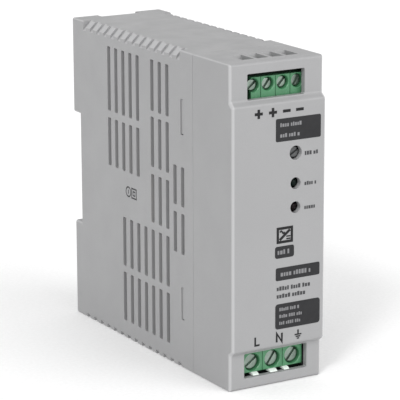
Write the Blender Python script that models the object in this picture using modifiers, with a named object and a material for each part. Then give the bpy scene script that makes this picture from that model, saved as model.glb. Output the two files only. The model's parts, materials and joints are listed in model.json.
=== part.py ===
"""A slim DIN rail power supply: a two-part plastic case that clips to a 35 mm top-hat rail.

Dimensions are in millimetres; MM turns them into metres where a mesh is made. X runs across the width,
Y from the front (-Y) to the rail (+Y) and Z upwards. The origin is the centre of the bottom face.
"""

import math

import bmesh
import bpy
from mathutils import Matrix, Vector

MM = 0.001

# Case
WIDTH = 32.0
HEIGHT = 97.5
FRONT_Y = -47.25
FASCIA_Y = -49.0
REAR_Y = 49.0
SEAM_Y = -26.7
SEAM_GAP = 0.3
FASCIA_Z = (12.3, 85.2)
FASCIA_SLOPE = 1.3
EDGE_ROUND = 1.1
COVER_WALL = 1.8
HOUSING_WALL = 2.0
GAP = 0.3
OVERRUN = 1.0

# Rail interface
RAIL_Z = 49.1
RAIL_HEIGHT = 35.0
FLANGE_SLOT = 1.5
FLANGE_RELIEF = 0.3
SEAT_Y = 44.6
RECESS_Z = (31.2, 67.0)
HOOK_BITE = 3.0
HOOK_HALF_WIDTH = 12.0
REAR_WALL_Y = 42.4
POCKET_Y = 47.0
REAR_NOTCH_HALF_WIDTH = 7.0
REAR_NOTCH_Y = 45.7
REAR_NOTCH_FLOOR = 70.5

# Vent slots in both sides: groups of (first column, columns, lower edge, upper edge)
COLUMN_PITCH = 4.52
FIRST_COLUMN_Y = -20.6
SLOT_WIDTH = 2.0
VENT_GROUPS = [
    (6, 5, 71.6, 91.9),
    (6, 5, 54.1, 69.4),
    (2, 3, 76.3, 92.0),
    (2, 3, 59.0, 74.5),
    (2, 3, 41.6, 56.7),
    (0, 2, 50.3, 62.4),
    (0, 2, 35.6, 48.1),
    (2, 7, 23.6, 39.3),
    (2, 7, 5.7, 21.5),
]
COMB_SLOTS = 14
COMB_FIRST_COLUMN = 0.5
COMB_SLOT_WIDTH = 1.9
COMB_LEGS = {0.0: 1.4, HEIGHT: 3.0}
CHAMFER_COLUMNS = (0.55, 13.45)
CHAMFER_LEG = 2.0

# Snap joint between cover and housing
SNAP_Y = (-21.3, -19.5)
SNAP_WINDOWS = [(72.2, 83.0), (15.2, 25.3)]
SNAP_PLATE_X = (12.5, 13.7)

# Front openings
OUTPUT_WINDOW = ((-10.0, 9.5), (86.6, 94.2))
INPUT_WINDOW = ((-10.9, 10.9), (3.4, 11.0))
INDICATOR_X = 5.5
TRIM_POT_Z = 69.9
LED_ZS = {"led_output_on": 60.8, "led_output_low": 53.6}
TRIM_HOLE_RADIUS = 2.1
LED_HOLE_RADIUS = 1.75

# Screw terminals: depths are measured back from the front of the block
BLOCK_FRONT_Y = FRONT_Y + COVER_WALL + GAP
BLOCK_DEPTH = 13.6
STEP_DEPTH = 2.7
HEAD_DEPTHS = (1.1, 2.7)
HEAD_CLEARANCE = 0.25
THREAD_RADIUS = 1.4
THREAD_END = 7.6
CHAMBER_DEPTHS = (3.2, 13.3)
CLAMP_DEPTHS = (6.0, 13.1)
CLAMP_WALL = 1.2
CLAMP_HALF_HEIGHT = 2.8
BAR_DEPTHS = (7.9, 8.7)
ENTRY_OUTLINE = [
    (6.8, 3.0), (11.8, 3.0), (9.2, 5.4), (10.0, 7.2), (10.4, 8.2), (2.0, 8.2), (2.6, 7.2), (4.4, 5.4),
]
OUTPUT_TERMINALS = {
    "count": 4, "pitch": 5.0, "x": 0.8, "z": 90.3, "out": 1,
    "half_width": 11.2, "clamp_half": 1.7, "entry_half": 2.0, "head_radius": 1.75, "step": (-7.9, 2.5),
}
INPUT_TERMINALS = {
    "count": 3, "pitch": 7.0, "x": 0.2, "z": 7.2, "out": -1,
    "half_width": 11.2, "clamp_half": 2.5, "entry_half": 2.5, "head_radius": 2.4, "step": (10.5, 2.9),
}
SLOT_ANGLES = {"output": (38.0, 52.0, 47.0, 60.0), "input": (35.0, 55.0, 50.0)}

# Circuit boards
FRONT_BOARD_Y = (-31.15, -29.55)
FRONT_BOARD_HALF_WIDTH = 11.8
MAIN_BOARD_X = (9.6, 11.2)
COMPONENT_X = MAIN_BOARD_X[0] - GAP
LEFT_LIMIT_X = -12.0

# Rail latch
LATCH_HALF_WIDTH = 5.6
LATCH_FOOT_HALF_WIDTH = 7.6
LATCH_Y = (44.9, 48.7)
LATCH_FOOT_Y = 45.9
LATCH_Z = (0.3, 31.0)
LATCH_TIP_Z = 33.9
LATCH_NOSE_Y = 46.1
SPRING_SLOT_Z = (8.0, 22.0)
SPRING_SEAT_Z = (8.3, 10.0)
SPRING_RADIUS = 1.35
SPRING_WIRE_RADIUS = 0.25
SPRING_TURNS = 6
POINTS_PER_TURN = 10

MATERIALS = {
    "case_plastic": ((0.42, 0.42, 0.425), 0.55, 0.0),
    "terminal_plastic": ((0.05, 0.30, 0.13), 0.4, 0.0),
    "latch_plastic": ((0.09, 0.09, 0.1), 0.5, 0.0),
    "zinc_steel": ((0.72, 0.72, 0.7), 0.3, 1.0),
    "tinned_brass": ((0.75, 0.7, 0.55), 0.3, 1.0),
    "spring_steel": ((0.6, 0.6, 0.62), 0.25, 1.0),
    "circuit_board": ((0.04, 0.2, 0.09), 0.45, 0.0),
    "black_epoxy": ((0.03, 0.03, 0.035), 0.45, 0.0),
    "ferrite": ((0.1, 0.1, 0.11), 0.65, 0.0),
    "winding_tape": ((0.75, 0.6, 0.12), 0.4, 0.0),
    "copper_winding": ((0.65, 0.28, 0.12), 0.35, 1.0),
    "capacitor_sleeve": ((0.05, 0.07, 0.16), 0.3, 0.0),
    "film_capacitor": ((0.75, 0.55, 0.1), 0.45, 0.0),
    "disc_blue": ((0.08, 0.2, 0.5), 0.4, 0.0),
    "heatsink_aluminium": ((0.75, 0.76, 0.78), 0.35, 1.0),
    "insulation_film": ((0.05, 0.05, 0.05), 0.45, 0.0),
    "fuse_ceramic": ((0.85, 0.83, 0.78), 0.35, 0.0),
    "trimmer_blue": ((0.05, 0.15, 0.45), 0.4, 0.0),
    "trimmer_rotor": ((0.85, 0.85, 0.82), 0.4, 0.0),
    "led_green": ((0.05, 0.35, 0.12), 0.15, 0.0),
    "led_red": ((0.4, 0.03, 0.03), 0.15, 0.0),
}


def clear_scene():
    for scene_object in list(bpy.data.objects):
        bpy.data.objects.remove(scene_object, do_unlink=True)


def new_collection(name):
    collection = bpy.data.collections.new(name)
    bpy.context.scene.collection.children.link(collection)
    return collection


def make_materials():
    made = {}
    for name, (colour, roughness, metallic) in MATERIALS.items():
        made[name] = bpy.data.materials.new(name)
        made[name].use_nodes = True
        shader = made[name].node_tree.nodes["Principled BSDF"]
        shader.inputs["Base Color"].default_value = (*colour, 1.0)
        shader.inputs["Roughness"].default_value = roughness
        shader.inputs["Metallic"].default_value = metallic
    return made


clear_scene()
PARTS = new_collection("din_rail_power_supply")
CUTTERS = new_collection("cutters")
SURFACES = make_materials()


def place(name, mesh, location, surface=None):
    """Link a mesh as a part with its material or, with no material, as a hidden cutter."""
    made = bpy.data.objects.new(name, mesh)
    made.location = Vector(location) * MM
    if surface:
        mesh.materials.append(SURFACES[surface])
        PARTS.objects.link(made)
    else:
        CUTTERS.objects.link(made)
        made.hide_render = True
        made.display_type = "WIRE"
    return made


def mesh_from(name, bm, smooth=False):
    mesh = bpy.data.meshes.new(name)
    bm.to_mesh(mesh)
    bm.free()
    if smooth:
        mesh.shade_smooth()
        mesh.set_sharp_from_angle(angle=math.radians(35))
    return mesh


def boxes(name, spans, surface=None):
    """One object of boxes, each given as its X, Y and Z spans; its origin is the first box's centre."""
    centre = Vector(tuple(sum(span) / 2 for span in spans[0]))
    bm = bmesh.new()
    for box in spans:
        middle = Vector(tuple(sum(span) / 2 for span in box)) - centre
        size = Vector(tuple(span[1] - span[0] for span in box))
        matrix = Matrix.Translation(middle * MM) @ Matrix.Diagonal((size * MM).to_4d())
        bmesh.ops.create_cube(bm, size=1.0, matrix=matrix)
    return place(name, mesh_from(name, bm), centre, surface)


def box(name, x, y, z, surface=None):
    return boxes(name, [(x, y, z)], surface)


AXIS_TURN = {
    "X": Matrix.Rotation(math.radians(90), 4, "Y"),
    "Y": Matrix.Rotation(math.radians(-90), 4, "X"),
    "Z": Matrix.Identity(4),
}


def cylinders(name, centres, axis, radius, length, surface=None, segments=20):
    """One object of equal cylinders along an axis; its origin is the first cylinder's centre."""
    bm = bmesh.new()
    for centre in centres:
        offset = (Vector(centre) - Vector(centres[0])) * MM
        bmesh.ops.create_cone(
            bm, cap_ends=True, segments=segments, radius1=radius * MM, radius2=radius * MM,
            depth=length * MM, matrix=Matrix.Translation(offset) @ AXIS_TURN[axis],
        )
    return place(name, mesh_from(name, bm, smooth=True), centres[0], surface)


def cylinder(name, centre, axis, radius, length, surface=None, segments=20):
    return cylinders(name, [centre], axis, radius, length, surface, segments)


PLANE_TURN = {
    "X": Matrix(((0, 0, 1), (1, 0, 0), (0, 1, 0))),
    "Y": Matrix(((0, 1, 0), (0, 0, 1), (1, 0, 0))),
    "Z": Matrix.Identity(3),
}


def curve_mesh(name, curve):
    """The evaluated curve as one closed mesh."""
    guide = bpy.data.objects.new(name + "_guide", curve)
    CUTTERS.objects.link(guide)
    depsgraph = bpy.context.evaluated_depsgraph_get()
    mesh = bpy.data.meshes.new_from_object(guide.evaluated_get(depsgraph))
    bpy.data.objects.remove(guide, do_unlink=True)
    bm = bmesh.new()
    bm.from_mesh(mesh)
    bmesh.ops.remove_doubles(bm, verts=bm.verts, dist=1e-6)
    bmesh.ops.dissolve_limit(bm, angle_limit=math.radians(1), verts=bm.verts, edges=bm.edges)
    bmesh.ops.recalc_face_normals(bm, faces=bm.faces)
    bm.to_mesh(mesh)
    bm.free()
    mesh.name = name
    mesh.materials.clear()
    return mesh


def prism(name, outline, axis, span, surface=None):
    """A flat outline extruded along an axis: (y, z) points along X, (z, x) along Y, (x, y) along Z."""
    curve = bpy.data.curves.new(name, "CURVE")
    curve.dimensions = "2D"
    curve.fill_mode = "BOTH"
    curve.extrude = (span[1] - span[0]) / 2 * MM
    spline = curve.splines.new("POLY")
    spline.points.add(len(outline) - 1)
    for point, (u, v) in zip(spline.points, outline):
        point.co = (u * MM, v * MM, 0.0, 1.0)
    spline.use_cyclic_u = True
    mesh = curve_mesh(name, curve)
    mesh.transform(PLANE_TURN[axis].to_4x4())
    along = {"X": (1, 0, 0), "Y": (0, 1, 0), "Z": (0, 0, 1)}[axis]
    return place(name, mesh, Vector(along) * sum(span) / 2, surface)


def turned(name, profile, centre, axis, surface, segments=20):
    """A turned piece: (radius, height) points down the outer side, spun about the object's own axis."""
    bm = bmesh.new()
    vertices = [bm.verts.new((radius * MM, 0.0, height * MM)) for radius, height in profile]
    for upper, lower in zip(vertices, vertices[1:]):
        bm.edges.new((upper, lower))
    made = place(name, mesh_from(name, bm), centre, surface)
    made.rotation_euler = AXIS_TURN[axis].to_euler()
    spin = made.modifiers.new("spin", "SCREW")
    spin.steps = segments
    spin.render_steps = segments
    spin.use_merge_vertices = True
    spin.merge_threshold = 1e-6
    return made


def combine(target, operand, operation):
    step = target.modifiers.new(operand.name, "BOOLEAN")
    step.operation = operation
    step.solver = "EXACT"
    step.object = operand


def cut(target, *cutters):
    for cutter in cutters:
        combine(target, cutter, "DIFFERENCE")


def join(target, *pieces):
    for piece in pieces:
        combine(target, piece, "UNION")


def round_edges(target, width, segments=2, angle=60.0):
    bevel = target.modifiers.new("rounded_edges", "BEVEL")
    bevel.width = width * MM
    bevel.segments = segments
    bevel.limit_method = "ANGLE"
    bevel.angle_limit = math.radians(angle)


def both_sides(span):
    """A span on +X and its mirror image on -X."""
    return [span, (-span[1], -span[0])]


def column_y(column):
    return FIRST_COLUMN_Y + COLUMN_PITCH * column


def case_outline():
    """The side profile of the whole case, anticlockwise in (y, z)."""
    low, high = FASCIA_Z
    return [
        (FRONT_Y, 0.0),
        (REAR_Y, 0.0),
        (REAR_Y, RECESS_Z[0]),
        (SEAT_Y, RECESS_Z[0]),
        (SEAT_Y, RECESS_Z[1]),
        (REAR_Y, RECESS_Z[1]),
        (REAR_Y, HEIGHT),
        (FRONT_Y, HEIGHT),
        (FRONT_Y, high + FASCIA_SLOPE),
        (FASCIA_Y, high),
        (FASCIA_Y, low),
        (FRONT_Y, low - FASCIA_SLOPE),
    ]


def case_solid(name):
    solid = prism(name, case_outline(), "X", (-WIDTH / 2, WIDTH / 2), "case_plastic")
    round_edges(solid, EDGE_ROUND)
    return solid


def vent_slots():
    """Cutters that run through both side walls."""
    across = (-WIDTH / 2 - OVERRUN, WIDTH / 2 + OVERRUN)
    spans = []
    for first, columns, low, high in VENT_GROUPS:
        for column in range(first, first + columns):
            middle = column_y(column)
            spans.append((across, (middle - SLOT_WIDTH / 2, middle + SLOT_WIDTH / 2), (low, high)))
    return boxes("vent_slots", spans)


def edge_cubes(name, cuts):
    """Cubes turned by 45 degrees over the long edges; each cut is (edge height, leg, lower y, upper y)."""
    turn = Matrix.Rotation(math.radians(45), 4, "Y")
    bm = bmesh.new()
    for edge_z, leg, low, high in cuts:
        side = 2 * leg
        out = (side / math.sqrt(2) - leg) / 2
        size = Matrix.Diagonal((Vector((side, high - low, side)) * MM).to_4d())
        z = edge_z + out if edge_z else -out
        for x in (-WIDTH / 2 - out, WIDTH / 2 + out):
            middle = Matrix.Translation(Vector((x, (low + high) / 2, z)) * MM)
            bmesh.ops.create_cube(bm, size=1.0, matrix=middle @ turn @ size)
    return place(name, mesh_from(name, bm), (0.0, 0.0, 0.0))


def comb():
    """A chamfer along the top edges and short slots across the edges of the top and the bottom."""
    chamfer = (HEIGHT, CHAMFER_LEG, column_y(CHAMFER_COLUMNS[0]), column_y(CHAMFER_COLUMNS[1]))
    slots = []
    for index in range(COMB_SLOTS):
        middle = column_y(COMB_FIRST_COLUMN + index)
        for edge_z, leg in COMB_LEGS.items():
            slots.append((edge_z, leg, middle - COMB_SLOT_WIDTH / 2, middle + COMB_SLOT_WIDTH / 2))
    return [edge_cubes("top_chamfer", [chamfer]), edge_cubes("comb_slots", slots)]


def rear_housing():
    housing = case_solid("rear_housing")
    half = WIDTH / 2
    inner = half - HOUSING_WALL
    deep = (REAR_WALL_Y - OVERRUN, POCKET_Y)
    cut(
        housing,
        box("front_half", (-half - 5, half + 5), (FASCIA_Y - 5, SEAM_Y + SEAM_GAP / 2), (-5, HEIGHT + 5)),
        box("cavity", (-inner, inner), (SEAM_Y - 5, REAR_WALL_Y), (HOUSING_WALL, HEIGHT - HOUSING_WALL)),
        boxes("upper_pockets", [(x, deep, (69.2, HEIGHT - HOUSING_WALL)) for x in both_sides((9.0, inner))]),
        boxes("lower_pockets", [(x, deep, (HOUSING_WALL, 29.0)) for x in both_sides((10.0, inner))]),
        box(
            "rear_notch", (-REAR_NOTCH_HALF_WIDTH, REAR_NOTCH_HALF_WIDTH), (REAR_NOTCH_Y, REAR_Y + OVERRUN),
            (REAR_NOTCH_FLOOR, HEIGHT + OVERRUN),
        ),
    )
    foot = LATCH_FOOT_HALF_WIDTH + GAP
    slider = LATCH_HALF_WIDTH + GAP
    channel_z = (-OVERRUN, RECESS_Z[0] + OVERRUN)
    cut(
        housing,
        box("latch_foot_channel", (-foot, foot), (SEAT_Y, LATCH_FOOT_Y + GAP), channel_z),
        box("latch_channel", (-slider, slider), (LATCH_FOOT_Y, REAR_Y + OVERRUN), channel_z),
    )
    relief_y = (SEAT_Y - FLANGE_RELIEF, SEAT_Y + OVERRUN)
    hook_edge = HOOK_HALF_WIDTH + GAP
    cut(
        housing,
        boxes("flange_reliefs", [
            ((-hook_edge, hook_edge), relief_y, (RECESS_Z[1] - HOOK_BITE - GAP, RECESS_Z[1])),
            ((-slider - GAP, slider + GAP), relief_y, (RECESS_Z[0] - OVERRUN, LATCH_TIP_Z + GAP)),
        ]),
    )
    lip = (SEAT_Y + FLANGE_SLOT, REAR_Y - 0.4)
    join(
        housing,
        box("hook_lip", (-HOOK_HALF_WIDTH, HOOK_HALF_WIDTH), lip, (RECESS_Z[1] - HOOK_BITE, RECESS_Z[1] + 2)),
        box("spring_seat", (-1.9, 1.9), (SEAT_Y - OVERRUN, 48.2), SPRING_SEAT_Z),
    )
    windows = [(x, SNAP_Y, z) for x in both_sides((inner - OVERRUN, half + OVERRUN)) for z in SNAP_WINDOWS]
    cut(housing, vent_slots(), *comb(), boxes("snap_windows", windows))
    return housing


def snap_tongues():
    """Four tongues on the cover, each with a barb that fills a window in the housing."""
    inner = WIDTH / 2 - COVER_WALL
    plates, roots, barbs = [], [], []
    for low, high in SNAP_WINDOWS:
        z = (low + 0.2, high - 0.2)
        for x in both_sides(SNAP_PLATE_X):
            plates.append((x, (-30.5, -17.5), z))
        for x in both_sides((SNAP_PLATE_X[0] + 0.2, inner + 0.5)):
            roots.append((x, (-30.2, SEAM_Y - 1.0), (z[0] + 0.2, z[1] - 0.2)))
        for x in both_sides((SNAP_PLATE_X[0] + 0.4, WIDTH / 2 - 0.5)):
            barbs.append((x, (SNAP_Y[0] + GAP, SNAP_Y[1] - GAP), (z[0] + 0.1, z[1] - 0.1)))
    return [boxes("snap_plates", plates), boxes("snap_roots", roots), boxes("snap_barbs", barbs)]


def front_cover():
    cover = case_solid("front_cover")
    half = WIDTH / 2
    inner = half - COVER_WALL
    low, high = FASCIA_Z
    wall = COVER_WALL
    hollow = [
        (FRONT_Y + wall, wall),
        (SEAM_Y + 5, wall),
        (SEAM_Y + 5, HEIGHT - wall),
        (FRONT_Y + wall, HEIGHT - wall),
        (FRONT_Y + wall, high),
        (FASCIA_Y + wall, high - FASCIA_SLOPE),
        (FASCIA_Y + wall, low + FASCIA_SLOPE),
        (FRONT_Y + wall, low),
    ]
    cut(
        cover,
        box("rear_half", (-half - 5, half + 5), (SEAM_Y - SEAM_GAP / 2, REAR_Y + 5), (-5, HEIGHT + 5)),
        prism("cover_hollow", hollow, "X", (-inner, inner)),
    )
    through = (FASCIA_Y - OVERRUN, FRONT_Y + wall + OVERRUN)
    for name, (x, z) in (("output_window", OUTPUT_WINDOW), ("input_window", INPUT_WINDOW)):
        cut(cover, box(name, x, through, z))
    for terminals in (OUTPUT_TERMINALS, INPUT_TERMINALS):
        cut(cover, *wire_entries(terminals))
    hole_y = sum(through) / 2
    depth = through[1] - through[0]
    leds = [(INDICATOR_X, hole_y, z) for z in LED_ZS.values()]
    cut(
        cover,
        cylinder("trim_pot_hole", (INDICATOR_X, hole_y, TRIM_POT_Z), "Y", TRIM_HOLE_RADIUS, depth),
        cylinders("led_holes", leds, "Y", LED_HOLE_RADIUS, depth, segments=16),
    )
    join(cover, *snap_tongues())
    return cover


def depth_span(depths):
    return (BLOCK_FRONT_Y + depths[0], BLOCK_FRONT_Y + depths[1])


def height_span(terminals, low, high):
    """A span of heights from the screw axis, positive towards the wire entry."""
    ends = (terminals["z"] + terminals["out"] * low, terminals["z"] + terminals["out"] * high)
    return (min(ends), max(ends))


def screw_xs(terminals):
    first = terminals["x"] - terminals["pitch"] * (terminals["count"] - 1) / 2
    return [first + terminals["pitch"] * i for i in range(terminals["count"])]


def wire_entries(terminals):
    """One funnel per pole, from the top or bottom of the case back to the clamp: (depth, height) outlines."""
    outline = [
        (BLOCK_FRONT_Y + depth, terminals["z"] + terminals["out"] * height)
        for depth, height in ENTRY_OUTLINE
    ]
    half = terminals["entry_half"]
    return [
        prism("wire_entry_" + str(index), outline, "X", (x - half, x + half))
        for index, x in enumerate(screw_xs(terminals))
    ]


def terminal_housing(side, terminals):
    """A block with a screw bore, a clamp chamber, a wire entry and a pin slot for each pole."""
    half = terminals["half_width"]
    clearance = terminals["clamp_half"] + GAP
    wide = (terminals["x"] - half, terminals["x"] + half)
    block = box(side + "_terminal_housing", wide, depth_span((0.0, BLOCK_DEPTH)),
                height_span(terminals, -6.4, 5.0), "terminal_plastic")
    step_x, step_height = terminals["step"]
    set_back = depth_span((-OVERRUN, STEP_DEPTH))
    beside = (wide[0] - OVERRUN, step_x) if terminals["out"] > 0 else (step_x, wide[1] + OVERRUN)
    cut(
        block,
        box(side + "_step_above", (-half - 3, half + 3), set_back, height_span(terminals, step_height, 6.0)),
        box(side + "_step_beside", beside, set_back, height_span(terminals, -7.4, 6.0)),
    )
    xs = screw_xs(terminals)
    bore_y = BLOCK_FRONT_Y + HEAD_DEPTHS[1] / 2
    chambers = []
    slots = []
    for x in xs:
        chambers.append(((x - clearance, x + clearance), depth_span(CHAMBER_DEPTHS),
                         height_span(terminals, -7.4, 3.4)))
        slots.append(((x - 1.4, x + 1.4), depth_span((11.0, BLOCK_DEPTH + 2.0)), height_span(terminals, -7.4, -4.6)))
    cut(
        block,
        cylinders(side + "_head_bores", [(x, bore_y, terminals["z"]) for x in xs], "Y",
                  terminals["head_radius"] + HEAD_CLEARANCE, HEAD_DEPTHS[1] + 0.5),
        cylinders(side + "_shank_bores", [(x, bore_y + 2.0, terminals["z"]) for x in xs], "Y",
                  THREAD_RADIUS + 0.2, 4.0, segments=16),
        boxes(side + "_chambers", chambers),
        boxes(side + "_pin_slots", slots),
        *wire_entries(terminals),
    )
    return block


def terminal_screw(name, x, terminals, angle):
    """A slotted M3 screw whose own Z axis lies along its joint."""
    length = THREAD_END - HEAD_DEPTHS[0]
    head = HEAD_DEPTHS[1] - HEAD_DEPTHS[0]
    radius = terminals["head_radius"]
    profile = [
        (0.0, length),
        (THREAD_RADIUS - 0.3, length),
        (THREAD_RADIUS, length - 0.4),
        (THREAD_RADIUS, head),
        (radius, head),
        (radius, 0.25),
        (radius - 0.25, 0.0),
        (0.0, 0.0),
    ]
    front = (x, BLOCK_FRONT_Y + HEAD_DEPTHS[0], terminals["z"])
    screw = turned(name, profile, front, "Y", "zinc_steel")
    slot = box(name + "_slot", (-radius - 1, radius + 1), (-OVERRUN, 0.9), (-0.4, 0.4))
    slot.location = Vector(front) * MM
    slot.rotation_euler = (0.0, math.radians(-angle), 0.0)
    cut(screw, slot)
    return screw


def terminal_clamp(name, x, terminals):
    """A cage that the screw draws towards the front to pinch the wire against the fixed bar."""
    half = terminals["clamp_half"]
    front, back = depth_span(CLAMP_DEPTHS)
    clamp = box(name, (x - half, x + half), (front, back),
                height_span(terminals, -CLAMP_HALF_HEIGHT, CLAMP_HALF_HEIGHT), "zinc_steel")
    side = half - 0.45
    cut(
        clamp,
        box(name + "_wire_way", (x - side, x + side), (front + CLAMP_WALL, back - CLAMP_WALL),
            height_span(terminals, -5.0, 5.0)),
        cylinder(name + "_thread", (x, front, terminals["z"]), "Y", THREAD_RADIUS + 0.12, 9.0, segments=16),
    )
    return clamp


def terminal_contact(name, x, terminals):
    """An L-shaped bar: one leg stands in the clamp, the other is soldered through the front board."""
    near, far = depth_span(BAR_DEPTHS)
    half = min(1.1, terminals["clamp_half"] - 0.75)
    tail_end = FRONT_BOARD_Y[1] + 1.0
    base = terminals["z"] - terminals["out"] * 5.9
    knee = terminals["z"] - terminals["out"] * 5.1
    tip = terminals["z"] + terminals["out"] * 3.2
    outline = [(near, base), (tail_end, base), (tail_end, knee), (far, knee), (far, tip), (near, tip)]
    return prism_at(name, outline, x, half, "tinned_brass")


def prism_at(name, outline, x, half, surface):
    """A (y, z) outline extruded to either side of a plane of constant x."""
    return prism(name, outline, "X", (x - half, x + half), surface)


def terminals(side, layout):
    terminal_housing(side, layout)
    for index, x in enumerate(screw_xs(layout)):
        number = str(index + 1)
        terminal_screw(side + "_screw_" + number, x, layout, SLOT_ANGLES[side][index])
        terminal_clamp(side + "_clamp_" + number, x, layout)
        terminal_contact(side + "_contact_" + number, x, layout)


def front_board():
    """The board across the width behind the front: it carries the terminals and the indicators."""
    half = FRONT_BOARD_HALF_WIDTH
    board = box("front_board", (-half, half), FRONT_BOARD_Y, (3.2, 94.3), "circuit_board")
    y = (FRONT_BOARD_Y[0] - OVERRUN, FRONT_BOARD_Y[1] + OVERRUN)
    holes = []
    for layout in (OUTPUT_TERMINALS, INPUT_TERMINALS):
        for x in screw_xs(layout):
            holes.append(((x - 1.4, x + 1.4), y, height_span(layout, -6.2, -4.8)))
    for z in LED_ZS.values():
        for x in (INDICATOR_X - 1.27, INDICATOR_X + 1.27):
            holes.append(((x - 0.55, x + 0.55), y, (z - 0.55, z + 0.55)))
    cut(board, boxes("board_holes", holes))


def led(name, z, surface):
    """A 3 mm indicator on long leads, its dome just inside the front."""
    length = 6.0
    radius = 1.45
    dome = [(radius * math.sin(math.radians(a)), radius * (1 - math.cos(math.radians(a)))) for a in (60, 30, 0)]
    profile = [(0.0, length), (1.8, length), (1.8, length - 1.0), (radius, length - 1.0), (radius, radius), *dome]
    body = turned(name, profile, (INDICATOR_X, FASCIA_Y + 0.35, z), "Y", surface, segments=16)
    back = FASCIA_Y + 0.35 + length
    leads = [((x - 0.25, x + 0.25), (back - 0.5, FRONT_BOARD_Y[1] + 1.2), (z - 0.25, z + 0.25))
             for x in (INDICATOR_X - 1.27, INDICATOR_X + 1.27)]
    join(body, boxes(name + "_leads", leads))


def trim_pot():
    """A single-turn trimmer on the front board with a long slotted spindle that reaches the front."""
    x, z = INDICATOR_X, TRIM_POT_Z
    body = box("trim_pot_body", (x - 3.5, x + 3.5), (-38.4, FRONT_BOARD_Y[0] - GAP), (z - 3.5, z + 3.5),
               "trimmer_blue")
    cut(body, cylinder("rotor_seat", (x, -38.4, z), "Y", 1.95, 8.0))
    spindle = [(0.0, 12.4), (1.65, 12.4), (1.65, 0.3), (1.35, 0.0), (0.0, 0.0)]
    front = (x, FASCIA_Y + 0.6, z)
    rotor = turned("trim_pot_rotor", spindle, front, "Y", "trimmer_rotor")
    slot = box("rotor_slot", (-3, 3), (-OVERRUN, 0.8), (-0.3, 0.3))
    slot.location = Vector(front) * MM
    slot.rotation_euler = (0.0, math.radians(-30.0), 0.0)
    cut(rotor, slot)


def main_board():
    box("main_board", MAIN_BOARD_X, (-28.9, 41.5), (3.2, 94.3), "circuit_board")
    box("insulation_sheet", (11.8, 12.1), (-26.0, 41.5), (3.0, 94.5), "insulation_film")
    box("board_link_header", (6.8, COMPONENT_X), (-29.2, -26.7), (30.0, 50.0), "black_epoxy")


def lying_can(name, y, z, radius, height, surface):
    """A round can that stands on the main board: its axis is X, its rolled rim at the board."""
    rim = radius - 0.4
    profile = [
        (0.0, height),
        (rim - 0.6, height),
        (radius, height - 0.7),
        (radius, 3.0),
        (rim, 2.4),
        (radius, 1.8),
        (radius, 0.4),
        (rim, 0.0),
        (0.0, 0.0),
    ]
    can = turned(name, profile, (COMPONENT_X, y, z), "X", surface, segments=24)
    can.rotation_euler = (0.0, math.radians(-90), 0.0)


def disc_part(name, y, z, radius, thickness, surface):
    """A dipped disc on edge, with two leads down to the main board."""
    middle = COMPONENT_X - radius - 3.0
    disc = cylinder(name, (middle, y, z), "Z", radius, thickness, surface, segments=20)
    round_edges(disc, 0.8, 2, 50.0)
    leads = [((middle + radius - 1.5, COMPONENT_X), (y + side - 0.3, y + side + 0.3), (z - 0.3, z + 0.3))
             for side in (-2.5, 2.5)]
    join(disc, boxes(name + "_leads", leads))


def input_filter():
    x_end = COMPONENT_X
    fuse = cylinder("fuse", (x_end - 3.0, -13.0, 8.5), "Y", 2.6, 20.0, "fuse_ceramic")
    caps = [((x_end - 3.6, x_end), (y - 1.0, y + 1.0), (7.9, 9.1)) for y in (-20.5, -5.5)]
    join(fuse, boxes("fuse_leads", caps))
    disc_part("varistor", 7.0, 8.5, 5.0, 4.0, "disc_blue")
    disc_part("inrush_thermistor", 20.0, 8.5, 5.0, 4.0, "black_epoxy")
    film = box("x_capacitor", (x_end - 14.5, x_end), (-24.5, -6.5), (16.0, 24.5), "film_capacitor")
    round_edges(film, 0.5, 1)
    disc_part("y_capacitor", -20.0, 31.0, 3.8, 3.2, "disc_blue")


def common_mode_choke():
    """A ferrite ring on edge with one winding on each half."""
    centre = (-1.5, 6.5, 23.5)
    outer, inner, half = 8.4, 4.6, 3.4
    ring = [(outer, half), (outer, -half), (inner, -half), (inner, half), (outer, half)]
    turned("choke_core", ring, centre, "X", "ferrite", segments=24)
    coil = [(outer + 1.0, half + 1.0), (outer + 1.0, -half - 1.0), (inner - 1.0, -half - 1.0),
            (inner - 1.0, half + 1.0), (outer + 1.0, half + 1.0)]
    sleeve = [(outer + GAP, half + GAP), (outer + GAP, -half - GAP), (inner - GAP, -half - GAP),
              (inner - GAP, half + GAP), (outer + GAP, half + GAP)]
    for side, sign in (("a", -1), ("b", 1)):
        winding = turned("choke_winding_" + side, coil, centre, "X", "copper_winding", segments=24)
        hollow = turned("choke_hollow_" + side, sleeve, centre, "X", "copper_winding", segments=24)
        PARTS.objects.unlink(hollow)
        CUTTERS.objects.link(hollow)
        hollow.hide_render = True
        hollow.display_type = "WIRE"
        z_span = sorted((centre[2] - sign * 1.6, centre[2] - sign * 20.0))
        other_half = box("choke_half_" + side, (centre[0] - 10, centre[0] + 10), (centre[1] - 15, centre[1] + 15),
                         (min(z_span), max(z_span)))
        middle = box("choke_middle_" + side, (centre[0] - 10, centre[0] + 10),
                     (centre[1] - 15, centre[1] + 15), (centre[2] - 1.61, centre[2] + 1.61))
        cut(winding, hollow, other_half, middle)


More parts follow.
